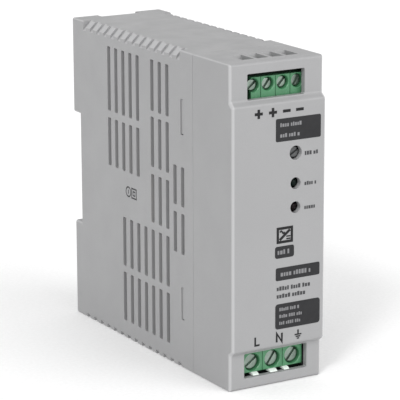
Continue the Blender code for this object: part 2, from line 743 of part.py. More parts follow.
def transformer():
    """Two E-shaped ferrite halves as one core, with a taped winding round its middle leg."""
    x = (LEFT_LIMIT_X, COMPONENT_X - 1.0)
    y = (-9.0, 17.0)
    z = (36.0, 62.0)
    core = box("transformer_core", (x[0] + 3.2, x[1] - 3.2), y, z, "ferrite")
    legs = [((x[0], x[1]), (y[0] + 4.0, y[0] + 9.5), (z[0] + 4.0, z[1] - 4.0)),
            ((x[0], x[1]), (y[1] - 9.5, y[1] - 4.0), (z[0] + 4.0, z[1] - 4.0))]
    cut(core, boxes("winding_windows", legs))
    round_edges(core, 0.5, 1)
    winding = box("transformer_winding", (x[0] + 0.3, x[1] - 0.3), (y[0] + 4.4, y[1] - 4.4),
                  (z[0] + 4.4, z[1] - 4.4), "winding_tape")
    leg = (y[0] + 9.5 - 0.4, y[1] - 9.5 + 0.4)
    cut(winding, box("leg_passage", (x[0] + 2.8, x[1] - 2.8), leg, (z[0], z[1])))


def power_tab(name, z, face_y):
    """A power package with three leads, its metal tab flat against a heatsink at face_y."""
    back = face_y - GAP
    body = box(name, (-5.0, 4.5), (back - 4.5, back), (z - 5.1, z + 5.1), "black_epoxy")
    tab = box(name + "_tab", (-11.2, -4.0), (back - 1.3, back - 0.01), (z - 5.0, z + 5.0))
    leads = [((4.0, COMPONENT_X), (back - 3.0, back - 2.3), (z + dz - 0.45, z + dz + 0.45)) for dz in (-2.54, 0.0, 2.54)]
    join(body, tab, boxes(name + "_leads", leads))
    cut(body, cylinder(name + "_hole", (-8.2, back, z), "Y", 1.75, 6.0, segments=16))


def heatsink(name, face_y, z):
    """An angle of aluminium sheet standing on the main board."""
    x = (LEFT_LIMIT_X, COMPONENT_X)
    outline = [(x[0], face_y), (x[1], face_y), (x[1], face_y + 1.6), (x[0] + 1.6, face_y + 1.6),
               (x[0] + 1.6, face_y + 12.0), (x[0], face_y + 12.0)]
    sheet = prism(name, outline, "Z", z, "heatsink_aluminium")
    middle = sum(z) / 2
    cut(sheet, cylinder(name + "_hole", (-8.2, face_y, middle), "Y", 1.75, 8.0, segments=16))
    return middle


def heatsink_screw(name, face_y, z):
    """A pan-head M3 screw through the package's tab and the sheet."""
    shank = 5.5
    profile = [(0.0, 2.2 + shank), (1.4, 2.2 + shank), (1.4, 2.2), (2.7, 2.2), (2.7, 0.9), (1.9, 0.0), (0.0, 0.0)]
    front = (-8.2, face_y - GAP - 1.3 - GAP - 2.2, z)
    turned(name, profile, front, "Y", "zinc_steel", segments=16)


def power_stage():
    for name, screw, sheet, z in (
        ("switching_transistor", "transistor_screw", "primary_heatsink", (36.0, 62.0)),
        ("output_rectifier", "rectifier_screw", "secondary_heatsink", (67.5, 93.0)),
    ):
        face_y = 27.0
        middle = heatsink(sheet, face_y, z)
        power_tab(name, middle, face_y)
        heatsink_screw(screw, face_y, middle)
    bridge = box("bridge_rectifier", (-3.0, COMPONENT_X - 2.5), (-17.5, -13.5), (36.0, 51.0), "black_epoxy")
    leads = [((COMPONENT_X - 3.0, COMPONENT_X), (-15.8, -15.2), (z - 0.5, z + 0.5)) for z in (38.0, 41.7, 45.3, 49.0)]
    join(bridge, boxes("bridge_leads", leads))
    lying_can("bulk_capacitor", 30.5, 21.5, 9.0, 20.5, "capacitor_sleeve")
    for index, (y, z) in enumerate(((-18.5, 86.0), (-6.5, 86.0))):
        lying_can("output_capacitor_" + str(index + 1), y, z, 5.0, 20.0, "capacitor_sleeve")


def output_inductor():
    """A drum core with its winding in the waist, standing on the main board."""
    profile = [(0.0, 15.0), (6.5, 15.0), (6.5, 12.6), (5.6, 12.2), (5.6, 2.8), (6.5, 2.4), (6.5, 0.0), (0.0, 0.0)]
    drum = turned("output_inductor", profile, (COMPONENT_X, 9.5, 83.0), "X", "ferrite", segments=20)
    drum.rotation_euler = (0.0, math.radians(-90), 0.0)


def dual_in_line(name, y, z, length, pins, surface):
    """A small moulded package with a row of pins down each side."""
    top = COMPONENT_X - 0.6
    body = box(name, (top - 3.4, top), (y - 3.2, y + 3.2), (z - length / 2, z + length / 2), surface)
    feet = []
    for index in range(pins // 2):
        pin_z = z + (index - (pins / 2 - 1) / 2) * 2.54
        for y_span in ((y - 4.2, y - 3.0), (y + 3.0, y + 4.2)):
            feet.append(((top - 1.9, COMPONENT_X), y_span, (pin_z - 0.4, pin_z + 0.4)))
    join(body, boxes(name + "_pins", feet))


def rail_latch():
    """The spring-loaded slider: its nose closes behind the lower rail flange."""
    low, shoulder = LATCH_Z
    near, far = LATCH_Y
    outline = [
        (near, low),
        (far, low),
        (far, shoulder + 0.5),
        (far - 1.4, LATCH_TIP_Z),
        (LATCH_NOSE_Y, LATCH_TIP_Z),
        (LATCH_NOSE_Y, shoulder),
        (near, shoulder),
    ]
    latch = prism("rail_latch", outline, "X", (-LATCH_HALF_WIDTH, LATCH_HALF_WIDTH), "latch_plastic")
    foot = LATCH_FOOT_HALF_WIDTH
    join(latch, box("latch_foot", (-foot, foot), (near + 0.01, LATCH_FOOT_Y), (3.0, shoulder - 0.01)))
    cut(
        latch,
        box("spring_slot", (-2.2, 2.2), (near - OVERRUN, far + OVERRUN), SPRING_SLOT_Z),
        box("tool_slot", (-3.0, 3.0), (near - OVERRUN, far + OVERRUN), (2.4, 4.2)),
    )


def latch_spring():
    """A compression spring between the housing's seat and the top of the slider's slot."""
    wire = SPRING_WIRE_RADIUS
    low = SPRING_SEAT_Z[1] + wire + 0.1
    high = SPRING_SLOT_Z[1] - wire - 0.1
    count = SPRING_TURNS * POINTS_PER_TURN
    middle_y = sum(LATCH_Y) / 2
    curve = bpy.data.curves.new("latch_spring", "CURVE")
    curve.dimensions = "3D"
    curve.bevel_depth = wire * MM
    curve.bevel_resolution = 1
    curve.use_fill_caps = True
    spline = curve.splines.new("POLY")
    spline.points.add(count)
    for index, point in enumerate(spline.points):
        turn = 2 * math.pi * index / POINTS_PER_TURN
        height = low + (high - low) * index / count
        point.co = (SPRING_RADIUS * math.cos(turn) * MM, SPRING_RADIUS * math.sin(turn) * MM, height * MM, 1.0)
    mesh = curve_mesh("latch_spring", curve)
    place("latch_spring", mesh, (0.0, middle_y, 0.0), "spring_steel")


rear_housing()
front_cover()
terminals("output", OUTPUT_TERMINALS)
terminals("input", INPUT_TERMINALS)
front_board()
led("led_output_on", LED_ZS["led_output_on"], "led_green")
led("led_output_low", LED_ZS["led_output_low"], "led_red")
trim_pot()
main_board()
input_filter()
common_mode_choke()
transformer()
power_stage()
output_inductor()
dual_in_line("control_chip", -20.0, 62.0, 9.6, 8, "black_epoxy")
dual_in_line("optocoupler", -20.0, 72.0, 4.6, 4, "black_epoxy")
rail_latch()
latch_spring()
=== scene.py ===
"""The looks of a slim DIN rail power supply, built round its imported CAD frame.

Shapes are written in millimetres in the frame's own axes and turned into metres when a piece is made.
"""

import json
import math
import random

import bmesh
import bpy
from mathutils import Matrix, Vector


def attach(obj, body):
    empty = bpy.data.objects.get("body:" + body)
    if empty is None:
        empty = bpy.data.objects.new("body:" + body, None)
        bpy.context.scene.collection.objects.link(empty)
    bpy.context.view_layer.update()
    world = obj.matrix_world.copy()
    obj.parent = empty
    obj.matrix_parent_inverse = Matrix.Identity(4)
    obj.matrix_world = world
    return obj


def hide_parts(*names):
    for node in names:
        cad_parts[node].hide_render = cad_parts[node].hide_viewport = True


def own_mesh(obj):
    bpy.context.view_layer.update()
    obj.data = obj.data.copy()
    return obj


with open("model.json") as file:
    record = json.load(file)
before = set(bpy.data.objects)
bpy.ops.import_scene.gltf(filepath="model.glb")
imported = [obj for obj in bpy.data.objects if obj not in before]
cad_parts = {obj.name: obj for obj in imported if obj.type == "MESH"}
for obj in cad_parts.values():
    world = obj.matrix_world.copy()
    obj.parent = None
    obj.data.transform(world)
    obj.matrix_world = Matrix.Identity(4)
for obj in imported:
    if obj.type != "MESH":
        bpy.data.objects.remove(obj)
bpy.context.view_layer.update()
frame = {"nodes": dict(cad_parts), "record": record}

MM = 0.001
SLOT_OF = {part["node"]: part["material_slot"] for part in frame["record"]["subparts"]}

# Case
HALF_WIDTH = 16.0
HEIGHT = 97.5
FRONT_Y = -47.25
FASCIA_Y = -48.95
PRINT_Y = -49.0
REAR_Y = 49.0
SEAM_Y = -26.7
SEAM_HALF_GAP = 0.06
FASCIA_Z = (12.3, 85.2)
FASCIA_SLOPE = 1.3
COVER_WALL = 1.8
HOUSING_WALL = 2.0
GAP = 0.3
FRONT_RADIUS = 1.1
LONG_RADIUS = 0.6
REAR_RADIUS = 0.9

# Rail interface
SEAT_Y = 44.6
RECESS_Z = (31.2, 67.0)
REAR_WALL_Y = 42.4
POCKET_Y = 47.0
POCKETS = ((9.0, (69.2, HEIGHT - HOUSING_WALL - 0.01)), (10.0, (HOUSING_WALL + 0.01, 29.0)))
LATCH_GUIDE_HALF = 7.9
LATCH_RUN_Z = (-1, 32.2)

# Vent slots: first column, number of columns, lower edge, upper edge
COLUMN_PITCH = 4.52
FIRST_COLUMN_Y = -20.6
SLOT_HALF = 1.0
SLOT_CORNER = 0.45
VENT_GROUPS = [
    (6, 5, 71.6, 91.9),
    (6, 5, 54.1, 69.4),
    (2, 3, 76.3, 92.0),
    (2, 3, 59.0, 74.5),
    (2, 3, 41.6, 56.7),
    (0, 2, 50.3, 62.4),
    (0, 2, 35.6, 48.1),
    (2, 7, 23.6, 39.3),
    (2, 7, 5.7, 21.5),
]
COMB_COLUMNS = [0.5 + step for step in range(14)]
COMB_LEGS = {0.0: 1.4, HEIGHT: 3.0}
COMB_HALF = 0.95
CHAMFER_COLUMNS = (0.55, 13.45)
CHAMFER_LEG = 2.0
SNAP_Y = (-21.3, -19.5)
SNAP_WINDOWS = [(72.2, 83.0), (15.2, 25.3)]
BRIDGE_Y = (-27.5, -26.95)

# Spans that reach past the case on every side
BEYOND_X = (-22, 22)
BEYOND_Z = (-5, 105)

# Marks sunk into the left side
SQUARES_Y = 9.3
RING_Y = 12.9
SIDE_MARK_Z = 48.0
SIDE_MARK_DEPTH = 0.3

# Front openings
OUTPUT_WINDOW = ((-10.0, 9.5), (86.6, 94.2))
INPUT_WINDOW = ((-10.9, 10.9), (3.4, 11.0))
INDICATOR_X = 5.5
TRIM_POT_Z = 69.9
LED_ZS = {"led_output_on": 60.8, "led_output_low": 53.6}
TRIM_HOLE_RADIUS = 2.1
LED_HOLE_RADIUS = 1.75

# Printing on the fascia: panels are (x, z, corner), lines of small print are (x, z, height)
PRINT_BACK_Y = FASCIA_Y + 0.01
LABEL_PANELS = (
    ((-1.4, 14.1), (73.7, 80.5), 0.5),
    ((-1.2, 14.1), (32.1, 36.0), 0.5),
    ((-1.3, 14.3), (17.3, 25.0), 0.9),
    ((-1.5, 5.1), (38.9, 42.5), 0.7),
)
LABEL_LINES = (
    ((0.1, 8.2), 78.6, 1.15), ((0.1, 7.0), 75.5, 1.15), ((0.5, 11.2), 34.0, 1.35), ((0.1, 7.0), 23.3, 1.0),
    ((0.1, 8.2), 21.2, 1.0), ((0.1, 7.6), 19.1, 1.0), ((-0.6, 4.2), 40.75, 1.4),
)
FASCIA_LINES = (
    ((8.6, 13.4), 69.4, 1.15), ((8.6, 12.8), 60.4, 1.15), ((8.6, 13.4), 53.2, 1.15),
    ((-0.8, 11.1), 29.7, 1.25), ((-0.8, 9.6), 27.4, 1.25),
)

# Screw terminals: depths are measured back from the front of the block
BLOCK_FRONT_Y = FRONT_Y + COVER_WALL + GAP
BLOCK_DEPTH = 13.6
THREAD_RADIUS = 1.4
OUTPUT = {
    "side": "output", "count": 4, "pitch": 5.0, "x": 0.8, "z": 90.3, "out": 1, "half": 11.2,
    "clamp_half": 1.7, "entry_half": 2.0, "head": 1.75, "step": (-7.5, 2.32),
    "angles": (38.0, 52.0, 47.0, 60.0),
}
INPUT = {
    "side": "input", "count": 3, "pitch": 7.0, "x": 0.2, "z": 7.2, "out": -1, "half": 11.2,
    "clamp_half": 2.5, "entry_half": 2.5, "head": 2.4, "step": (10.5, 2.9),
    "angles": (35.0, 55.0, 50.0),
}
ENTRY_OUTLINE = (
    (6.8, 3.0), (11.8, 3.0), (9.2, 5.4), (10.0, 7.2), (10.4, 8.2), (2.0, 8.2), (2.6, 7.2), (4.4, 5.4),
)
STEP_DEPTH = 2.7
HEAD_DEPTHS = (1.1, 2.7)
THREAD_END = 7.6

# Inside
FRONT_BOARD_Y = (-31.15, -29.55)
COMPONENT_X = 9.3
BOARD_BACK_X = 11.2
LEAD_END_X = COMPONENT_X + 0.25
PIN_PITCH = 2.54
HEATSINK_Y = 27.0
TAB_SCREW_X = -8.2
SOLDER_SPOTS = (
    ((-22.5, -3.5, 4.5, 9.5, 17.5, 22.5), (8.5,)),
    ((24.4,), (46.5, 49.0, 51.5, 77.7, 80.2, 82.8)),
    ((-24.2, -15.8), (58.2, 60.7, 63.3, 65.8, 70.7, 73.3)),
    ((-15.5,), (38.0, 41.7, 45.3, 49.0)),
    ((-21.0, -10.0), (20.0,)),
    ((28.0, 33.0), (21.5,)),
    ((-18.5, -6.5), (84.75, 87.25)),
)

# Shaders
COAT_ROUGHNESS = 0.12
SOFT_RADIUS = (0.0012, 0.0012, 0.0011)
SLOW_RANGE = (0.3, 0.7)
SPECK_RANGE = (0.35, 0.65)
SPECK_SHARE = 0.35
SPECK_TONE = 0.9
# Painted highlight on edges: the span of the normal mask and how much lighter the edges are painted
EDGE_HIGHLIGHT_RANGE = (0.2, 0.48)
EDGE_HIGHLIGHT_TONE = 1.5
WAVE_RADIANS = 20

# Meshes: ways to try a bevel as (cut the concave faces first, share of the width)
BEVEL_TRIALS = ((False, 1.0), (True, 1.0), (False, 0.6), (True, 0.6), (False, 0.3), (True, 0.3))
FOLD_LIMIT = 0.03
FLAT_ANGLE = math.radians(0.6)
SHARP_ANGLE = math.radians(40)
AXIS_TURN = {
    name: Matrix.Rotation(math.radians(degrees), 4, axis)
    for name, degrees, axis in (("X", 90, "Y"), ("-X", -90, "Y"), ("Y", -90, "X"), ("Z", 0, "X"))
}
PRISM_POINT = {
    "X": lambda u, v, w: (w, u, v),
    "Y": lambda u, v, w: (u, w, v),
    "Z": lambda u, v, w: (u, v, w),
}

# Studio, in degrees and millimetres; a sun is (name, way to it, width, share of full strength)
FLOOR_COLOUR = (250, 250, 250)
TARGET = Vector((3.94, 2.98, 44.86))
CAMERA_AZIMUTH = 30.6
CAMERA_ELEVATION = 14.07
CAMERA_ROLL = -0.2
CAMERA_DISTANCE = 699.4
CAMERA_LENS = 202.4
CAMERA_SENSOR = 36.0
CAMERA_CLIP = (0.05, 20.0)
SUNS = (
    ("key", (-0.58, -0.44, 0.68), 12.0, 0.28),
    ("strip", (-0.69, -0.69, 0.21), 16.0, 0.15),
    ("fill", (0.35, -0.8, 0.48), 50.0, 0.365),
)
WORLD_STRENGTH = 0.78


# Materials


def linear(rgb):
    """Red, green and blue from 0 to 255 as a linear colour."""
    def channel(value):
        share = value / 255
        return share / 12.92 if share <= 0.04045 else ((share + 0.055) / 1.055) ** 2.4
    return (*(channel(value) for value in rgb), 1.0)


def scaled(colour, factor):
    return (*(min(1.0, part * factor) for part in colour[:3]), 1.0)


def set_values(node, values):
    for socket, value in values.items():
        node.inputs[socket].default_value = value


def add_node(tree, kind, values=None, **settings):
    """A shader node with its settings and the values of its sockets."""
    node = tree.nodes.new("ShaderNode" + kind)
    for name, value in settings.items():
        setattr(node, name, value)
    set_values(node, values or {})
    return node


def link(tree, source, output, target, socket):
    tree.links.new(source.outputs[output], target.inputs[socket])


def noise(tree, coordinates, scale, detail=3.0, roughness=0.55):
    node = add_node(tree, "TexNoise", {"Scale": scale, "Detail": detail, "Roughness": roughness})
    link(tree, coordinates, 0, node, "Vector")
    return node


def ramp(tree, source, given, wanted):
    """The first output of a node, carried from one range of values to another."""
    node = add_node(tree, "MapRange", {
        "From Min": given[0], "From Max": given[1], "To Min": wanted[0], "To Max": wanted[1],
    })
    link(tree, source, 0, node, "Value")
    return node


def combine(tree, operation, *sources):
    node = add_node(tree, "Math", operation=operation)
    for socket, (source, output) in enumerate(sources):
        link(tree, source, output, node, socket)
    return node


def mix_colours(tree, factor, first, second):
    node = add_node(tree, "Mix", data_type="RGBA")
    link(tree, factor, 0, node, 0)
    for socket, value in ((6, first), (7, second)):
        if isinstance(value, tuple):
            node.inputs[socket].default_value = value
        else:
            link(tree, value, 2, node, socket)
    return node


def surface(
    name, rgb, roughness, metallic=0.0, grain=(4000.0, 0.012), mottle=(140.0, 0.05), spread=0.08,
    stretch=(1.0, 1.0, 1.0), wear=0.0, coat=0.0, bands=None, specular=0.5, soft=0.0,
):
    """A procedural finish: fine grain in the bump, slow mottling, uneven gloss and a painted highlight that
    lightens edges.

    grain is (cells per metre, depth in mm), mottle is (cells per metre, share), bands is (radians per
    metre, axis, depth in mm) for wound or woven work, and the edge highlight setting is how much a
    painted highlight lightens the edges between the sides and the front or top.
    """
    colour = linear(rgb)
    material = bpy.data.materials.new(name)
    material.use_nodes = True
    tree = material.node_tree
    shader = tree.nodes["Principled BSDF"]
    set_values(shader, {"Metallic": metallic, "Specular IOR Level": specular})
    if coat:
        set_values(shader, {"Coat Weight": coat, "Coat Roughness": COAT_ROUGHNESS})
    if soft:
        set_values(shader, {"Subsurface Weight": soft, "Subsurface Scale": 1.0})
        set_values(shader, {"Subsurface Radius": SOFT_RADIUS})
    place = add_node(tree, "TexCoord")
    mapping = add_node(tree, "Mapping", {"Scale": stretch})
    link(tree, place, "Object", mapping, "Vector")
    tone = ramp(tree, noise(tree, mapping, mottle[0]), SLOW_RANGE, (0.0, 1.0))
    base = mix_colours(tree, tone, scaled(colour, 1 - mottle[1]), scaled(colour, 1 + mottle[1]))
    fine = noise(tree, mapping, grain[0], 2.0, 0.5)
    speck = ramp(tree, fine, SPECK_RANGE, (0.0, SPECK_SHARE))
    last = mix_colours(tree, speck, base, scaled(colour, SPECK_TONE))
    # Painted highlight: edges whose normals lie between the side and the front or top are lightened
    if wear:
        facing = add_node(tree, "VectorMath", operation="ABSOLUTE")
        link(tree, place, "Normal", facing, 0)
        parts = add_node(tree, "SeparateXYZ")
        link(tree, facing, 0, parts, 0)
        along = combine(tree, "ADD", (parts, "Y"), (parts, "Z"))
        turned = combine(tree, "MULTIPLY", (parts, "X"), (along, 0))
        edge = ramp(tree, turned, EDGE_HIGHLIGHT_RANGE, (0.0, wear))
        last = mix_colours(tree, edge, last, scaled(colour, EDGE_HIGHLIGHT_TONE))
    link(tree, last, 2, shader, "Base Color")
    patch = noise(tree, mapping, mottle[0] * 2.3, 4.0)
    gloss = ramp(tree, patch, SLOW_RANGE, (max(0.02, roughness - spread), min(1.0, roughness + spread)))
    link(tree, gloss, 0, shader, "Roughness")
    bump = add_node(tree, "Bump", {"Strength": 1.0, "Distance": grain[1] * MM})
    link(tree, fine, 0, bump, "Height")
    if bands:
        wave = add_node(
            tree, "TexWave", {"Scale": bands[0] / WAVE_RADIANS, "Distortion": 0.4, "Detail": 1.0},
            bands_direction=bands[1],
        )
        link(tree, place, "Object", wave, "Vector")
        second = add_node(tree, "Bump", {"Distance": bands[2] * MM})
        link(tree, wave, 1, second, "Height")
        link(tree, bump, 0, second, "Normal")
        bump = second
    link(tree, bump, 0, shader, "Normal")
    return material


def slot_finish(name, *values, **settings):
    FINISHES[name] = surface(name, *values, **settings)


def ink(name, grey, mottle):
    return surface(name, (grey, grey, grey + 2), 0.6, mottle=(220.0, mottle), specular=0.3)


FINISHES = {}
# The case, terminal, latch and ferrite finishes carry a painted highlight on their edges
slot_finish(
    "case_plastic", (149, 149, 150), 0.42, grain=(3600.0, 0.014), mottle=(45.0, 0.025), wear=0.75,
    soft=0.05,
)
slot_finish(
    "terminal_plastic", (70, 127, 89), 0.32, grain=(2600.0, 0.006), mottle=(160.0, 0.06), wear=0.2,
    coat=0.15,
)
slot_finish("latch_plastic", (52, 52, 54), 0.48, grain=(3600.0, 0.018), mottle=(120.0, 0.08), wear=0.25)
# The zinc's grey is tinted green: painted reflection of the green terminal plastic round the screws
slot_finish("zinc_steel", (148, 162, 152), 0.45, 1.0, (2200.0, 0.004), (420.0, 0.14), 0.12)
slot_finish("tinned_brass", (196, 192, 176), 0.3, 1.0, (1800.0, 0.003), (300.0, 0.1), 0.12)
slot_finish("spring_steel", (150, 150, 150), 0.28, 1.0, (3000.0, 0.002), (600.0, 0.1), 0.1)
slot_finish(
    "circuit_board", (30, 92, 52), 0.38, grain=(5200.0, 0.004), mottle=(700.0, 0.16), coat=0.3,
    bands=(1500.0, "Z", 0.002),
)
slot_finish("black_epoxy", (40, 40, 42), 0.5, grain=(6000.0, 0.006), mottle=(260.0, 0.1))
slot_finish("ferrite", (62, 62, 66), 0.62, grain=(2600.0, 0.012), mottle=(500.0, 0.16), wear=0.2)
slot_finish(
    "winding_tape", (214, 172, 52), 0.3, grain=(1500.0, 0.004), mottle=(200.0, 0.08), coat=0.3,
    bands=(900.0, "X", 0.05),
)
slot_finish("copper_winding", (186, 98, 52), 0.25, 1.0, (3500.0, 0.002), (500.0, 0.14), coat=0.5)
slot_finish("capacitor_sleeve", (34, 38, 56), 0.28, grain=(900.0, 0.006), mottle=(240.0, 0.08), coat=0.3)
slot_finish("film_capacitor", (206, 160, 46), 0.4, grain=(3600.0, 0.01), mottle=(160.0, 0.06))
slot_finish("disc_blue", (44, 92, 158), 0.34, grain=(1200.0, 0.02), mottle=(300.0, 0.08), coat=0.2)
slot_finish(
    "heatsink_aluminium", (196, 198, 200), 0.36, 1.0, (2400.0, 0.003), (260.0, 0.08), 0.1,
    (0.12, 1.0, 1.0), 0.15,
)
slot_finish("insulation_film", (62, 62, 63), 0.42, grain=(1700.0, 0.006), mottle=(90.0, 0.06))
slot_finish("fuse_ceramic", (222, 216, 200), 0.35, grain=(3000.0, 0.006), mottle=(300.0, 0.04))
slot_finish("trimmer_blue", (36, 78, 150), 0.36, grain=(3600.0, 0.01), mottle=(300.0, 0.06))
# The spindle's grey is darker than the part's own: painted shade of the hole it sits in
slot_finish("trimmer_rotor", (80, 81, 82), 0.4, grain=(3600.0, 0.01), mottle=(500.0, 0.1))
for name, rgb in (("led_green", (5, 20, 16)), ("led_red", (14, 4, 7))):
    slot_finish(name, rgb, 0.3, grain=(1600.0, 0.001), mottle=(700.0, 0.15), spread=0.05, specular=0.12)

PRINT_DARK = ink("print_dark", 36, 0.07)
PRINT_MARK = ink("print_mark", 22, 0.09)
PRINT_FAINT = ink("print_faint", 60, 0.09)
PRINT_PALE = ink("print_pale", 122, 0.07)
SLEEVE_STRIPE = surface("sleeve_stripe", (176, 178, 184), 0.3, grain=(900.0, 0.006), mottle=(240.0, 0.06))
CAN_METAL = surface("can_metal", (196, 198, 200), 0.3, 1.0, (1400.0, 0.003), (300.0, 0.08))
# A near-black material for strips of painted shade in the gaps round the terminal blocks
PAINTED_SHADE_STRIP = surface("painted_shade_strip", (22, 30, 26), 0.6, mottle=(260.0, 0.08), specular=0.2)
# A near-white matte finish for the painted glints below the input screws
PAINTED_GLINT = surface("painted_glint", (232, 240, 234), 0.4, mottle=(300.0, 0.03))
SOLDER = surface("solder", (186, 188, 192), 0.26, 1.0, (1200.0, 0.01), (600.0, 0.12))


# Mesh building


def new():
    return bmesh.new()


def about(middle, half):
    return (middle - half, middle + half)


def both_sides(span):
    return [span, (-span[1], -span[0])]


def on_circle(radius, angle):
    return (radius * math.cos(angle), radius * math.sin(angle))


def bar(x, z):
    return [(x[0], z[0]), (x[1], z[0]), (x[1], z[1]), (x[0], z[1])]


def rounded(u, v, radius, steps=4):
    """A rectangle's outline with round corners."""
    outline = []
    for centre_u, centre_v, start in (
        (u[1] - radius, v[1] - radius, 0),
        (u[0] + radius, v[1] - radius, 90),
        (u[0] + radius, v[0] + radius, 180),
        (u[1] - radius, v[0] + radius, 270),
    ):
        for step in range(steps + 1):
            along, up = on_circle(radius, math.radians(start + 90 * step / steps))
            outline.append((centre_u + along, centre_v + up))
    return outline


def put_box(bm, x, y, z, turn=None):
    middle = Vector((sum(x) / 2, sum(y) / 2, sum(z) / 2))
    size = Matrix.Diagonal(Vector((x[1] - x[0], y[1] - y[0], z[1] - z[0], 1.0)))
    matrix = Matrix.Translation(middle) @ (turn or Matrix.Identity(4)) @ size
    bmesh.ops.create_cube(bm, size=1.0, matrix=matrix)
    return bm


def turned_box(x, y, z, centre, degrees, axis="Y"):
    """A box given about the origin, turned there and then moved to a point."""
    bm = put_box(new(), x, y, z)
    bm.transform(Matrix.Translation(centre) @ Matrix.Rotation(math.radians(degrees), 4, axis))
    return bm


def put_bands(bm, rings, closed=False):
    """Faces between neighbouring rings of points; a ring of one point is a tip."""
    pairs = list(zip(rings, rings[1:]))
    if closed:
        pairs.append((rings[-1], rings[0]))
    for first, second in pairs:
        count = max(len(first), len(second))
        for step in range(count):
            follow = (step + 1) % count
            corners = [first[step % len(first)], first[follow % len(first)],
                       second[follow % len(second)], second[step % len(second)]]
            unique = list(dict.fromkeys(corners))
            if len(unique) > 2:
                bm.faces.new(unique)
    return bm


def put_prism(bm, outline, axis, span):
    """A flat outline between two depths: (y, z) points along X, (x, z) along Y, (x, y) along Z."""
    point = PRISM_POINT[axis]
    ends = [[bm.verts.new(point(u, v, w)) for u, v in outline] for w in span]
    bm.faces.new(ends[0])
    bm.faces.new(ends[1])
    return put_bands(bm, ends)


def put_lathe(bm, profile, centre, axis, segments=48, closed=False):
    """(radius, height) points turned about an axis through centre; a closed profile makes a ring."""
    matrix = Matrix.Translation(Vector(centre)) @ AXIS_TURN[axis]
    rings = []
    for radius, height in profile:
        rings.append([
            bm.verts.new(matrix @ Vector((*on_circle(radius, 2 * math.pi * step / segments), height)))
            for step in range(1 if radius < 1e-6 else segments)
        ])
    return put_bands(bm, rings, closed)


def put_round(bm, centre, axis, radius, length, segments=48):
    """A cylinder centred on a point."""
    half = length / 2
    return put_lathe(bm, [(0, -half), (radius, -half), (radius, half), (0, half)], centre, axis, segments)


def put_tube(bm, points, radius, sides=10, closed=False):
    """A round wire along a line of points."""
    points = [Vector(point) for point in points]
    count = len(points)
    rings = []
    normal = None
    for index, point in enumerate(points):
        if closed:
            tangent = (points[(index + 1) % count] - points[index - 1]).normalized()
        else:
            tangent = (points[min(index + 1, count - 1)] - points[max(index - 1, 0)]).normalized()
        if normal is None:
            normal = tangent.orthogonal()
        normal = (normal - tangent * normal.dot(tangent)).normalized()
        across = tangent.cross(normal)
        ring = []
        for side in range(sides):
            u, v = on_circle(1.0, 2 * math.pi * side / sides)
            ring.append(bm.verts.new(point + (normal * u + across * v) * radius))
        rings.append(ring)
    if not closed:
        bm.faces.new(rings[0])
        bm.faces.new(rings[-1])
    return put_bands(bm, rings, closed)


def put_frame(bm, u, v, stroke, axis, span):
    """A rectangular ring between two depths."""
    point = PRISM_POINT[axis]
    outer = bar(u, v)
    inner = bar((u[0] + stroke, u[1] - stroke), (v[0] + stroke, v[1] - stroke))
    rings = []
    for corners, depth in ((outer, span[0]), (outer, span[1]), (inner, span[1]), (inner, span[0])):
        rings.append([bm.verts.new(point(a, b, depth)) for a, b in corners])
    return put_bands(bm, rings, closed=True)


def thread_rings(root, radius, height, end):
    """A profile's thread rings, and the height at which they stop."""
    profile = []
    while height < end:
        profile += [(root, height), (radius, height + 0.2), (radius, height + 0.27)]
        height += 0.5
    return profile, height


def as_object(name, bm):
    bmesh.ops.recalc_face_normals(bm, faces=bm.faces)
    bm.transform(Matrix.Scale(MM, 4))
    mesh = bpy.data.meshes.new(name)
    bm.to_mesh(mesh)
    bm.free()
    made = bpy.data.objects.new(name, mesh)
    bpy.context.scene.collection.objects.link(made)
    return made


def apply_modifiers(made):
    depsgraph = bpy.context.evaluated_depsgraph_get()
    mesh = bpy.data.meshes.new_from_object(made.evaluated_get(depsgraph))
    made.modifiers.clear()
    made.data = mesh


def cuts(*tools):
    return [("DIFFERENCE", tool) for tool in tools]


def joins(*tools):
    return [("UNION", tool) for tool in tools]


def shape_with(made, *steps):
    """Boolean steps in order, each ("DIFFERENCE" or "UNION", bmesh)."""
    helpers = []
    for index, (operation, bm) in enumerate(steps):
        helper = as_object(made.name + "_step_" + str(index), bm)
        helpers.append(helper)
        step = made.modifiers.new("step", "BOOLEAN")
        step.operation = operation
        step.solver = "EXACT"
        step.object = helper
    apply_modifiers(made)
    for helper in helpers:
        bpy.data.objects.remove(helper)
    return made


def tidy_mesh(made):
    bm = bmesh.new()
    bm.from_mesh(made.data)
    bmesh.ops.remove_doubles(bm, verts=bm.verts, dist=2e-6)
    bmesh.ops.dissolve_degenerate(bm, edges=bm.edges, dist=1e-6)
    bmesh.ops.dissolve_limit(bm, angle_limit=FLAT_ANGLE, verts=bm.verts, edges=bm.edges)
    bm.to_mesh(made.data)
    bm.free()


def folded_area(mesh):
    """Square millimetres by which faces cover themselves once they are cut into triangles."""
    mesh.calc_loop_triangles()
    areas = [0.0] * len(mesh.polygons)
    for triangle in mesh.loop_triangles:
        areas[triangle.polygon_index] += triangle.area
    return sum(max(0.0, areas[face.index] - face.area) for face in mesh.polygons) / MM ** 2


def split_concave(mesh):
    bm = bmesh.new()
    bm.from_mesh(mesh)
    bmesh.ops.connect_verts_concave(bm, faces=bm.faces)
    bm.to_mesh(mesh)
    bm.free()


def bevel_edges(made, width, segments, **settings):
    """A bevel of a width in mm, applied at once."""
    bevel = made.modifiers.new("bevel", "BEVEL")
    bevel.width = width * MM
    bevel.segments = segments
    bevel.use_clamp_overlap = False
    for name, value in settings.items():
        setattr(bevel, name, value)
    apply_modifiers(made)


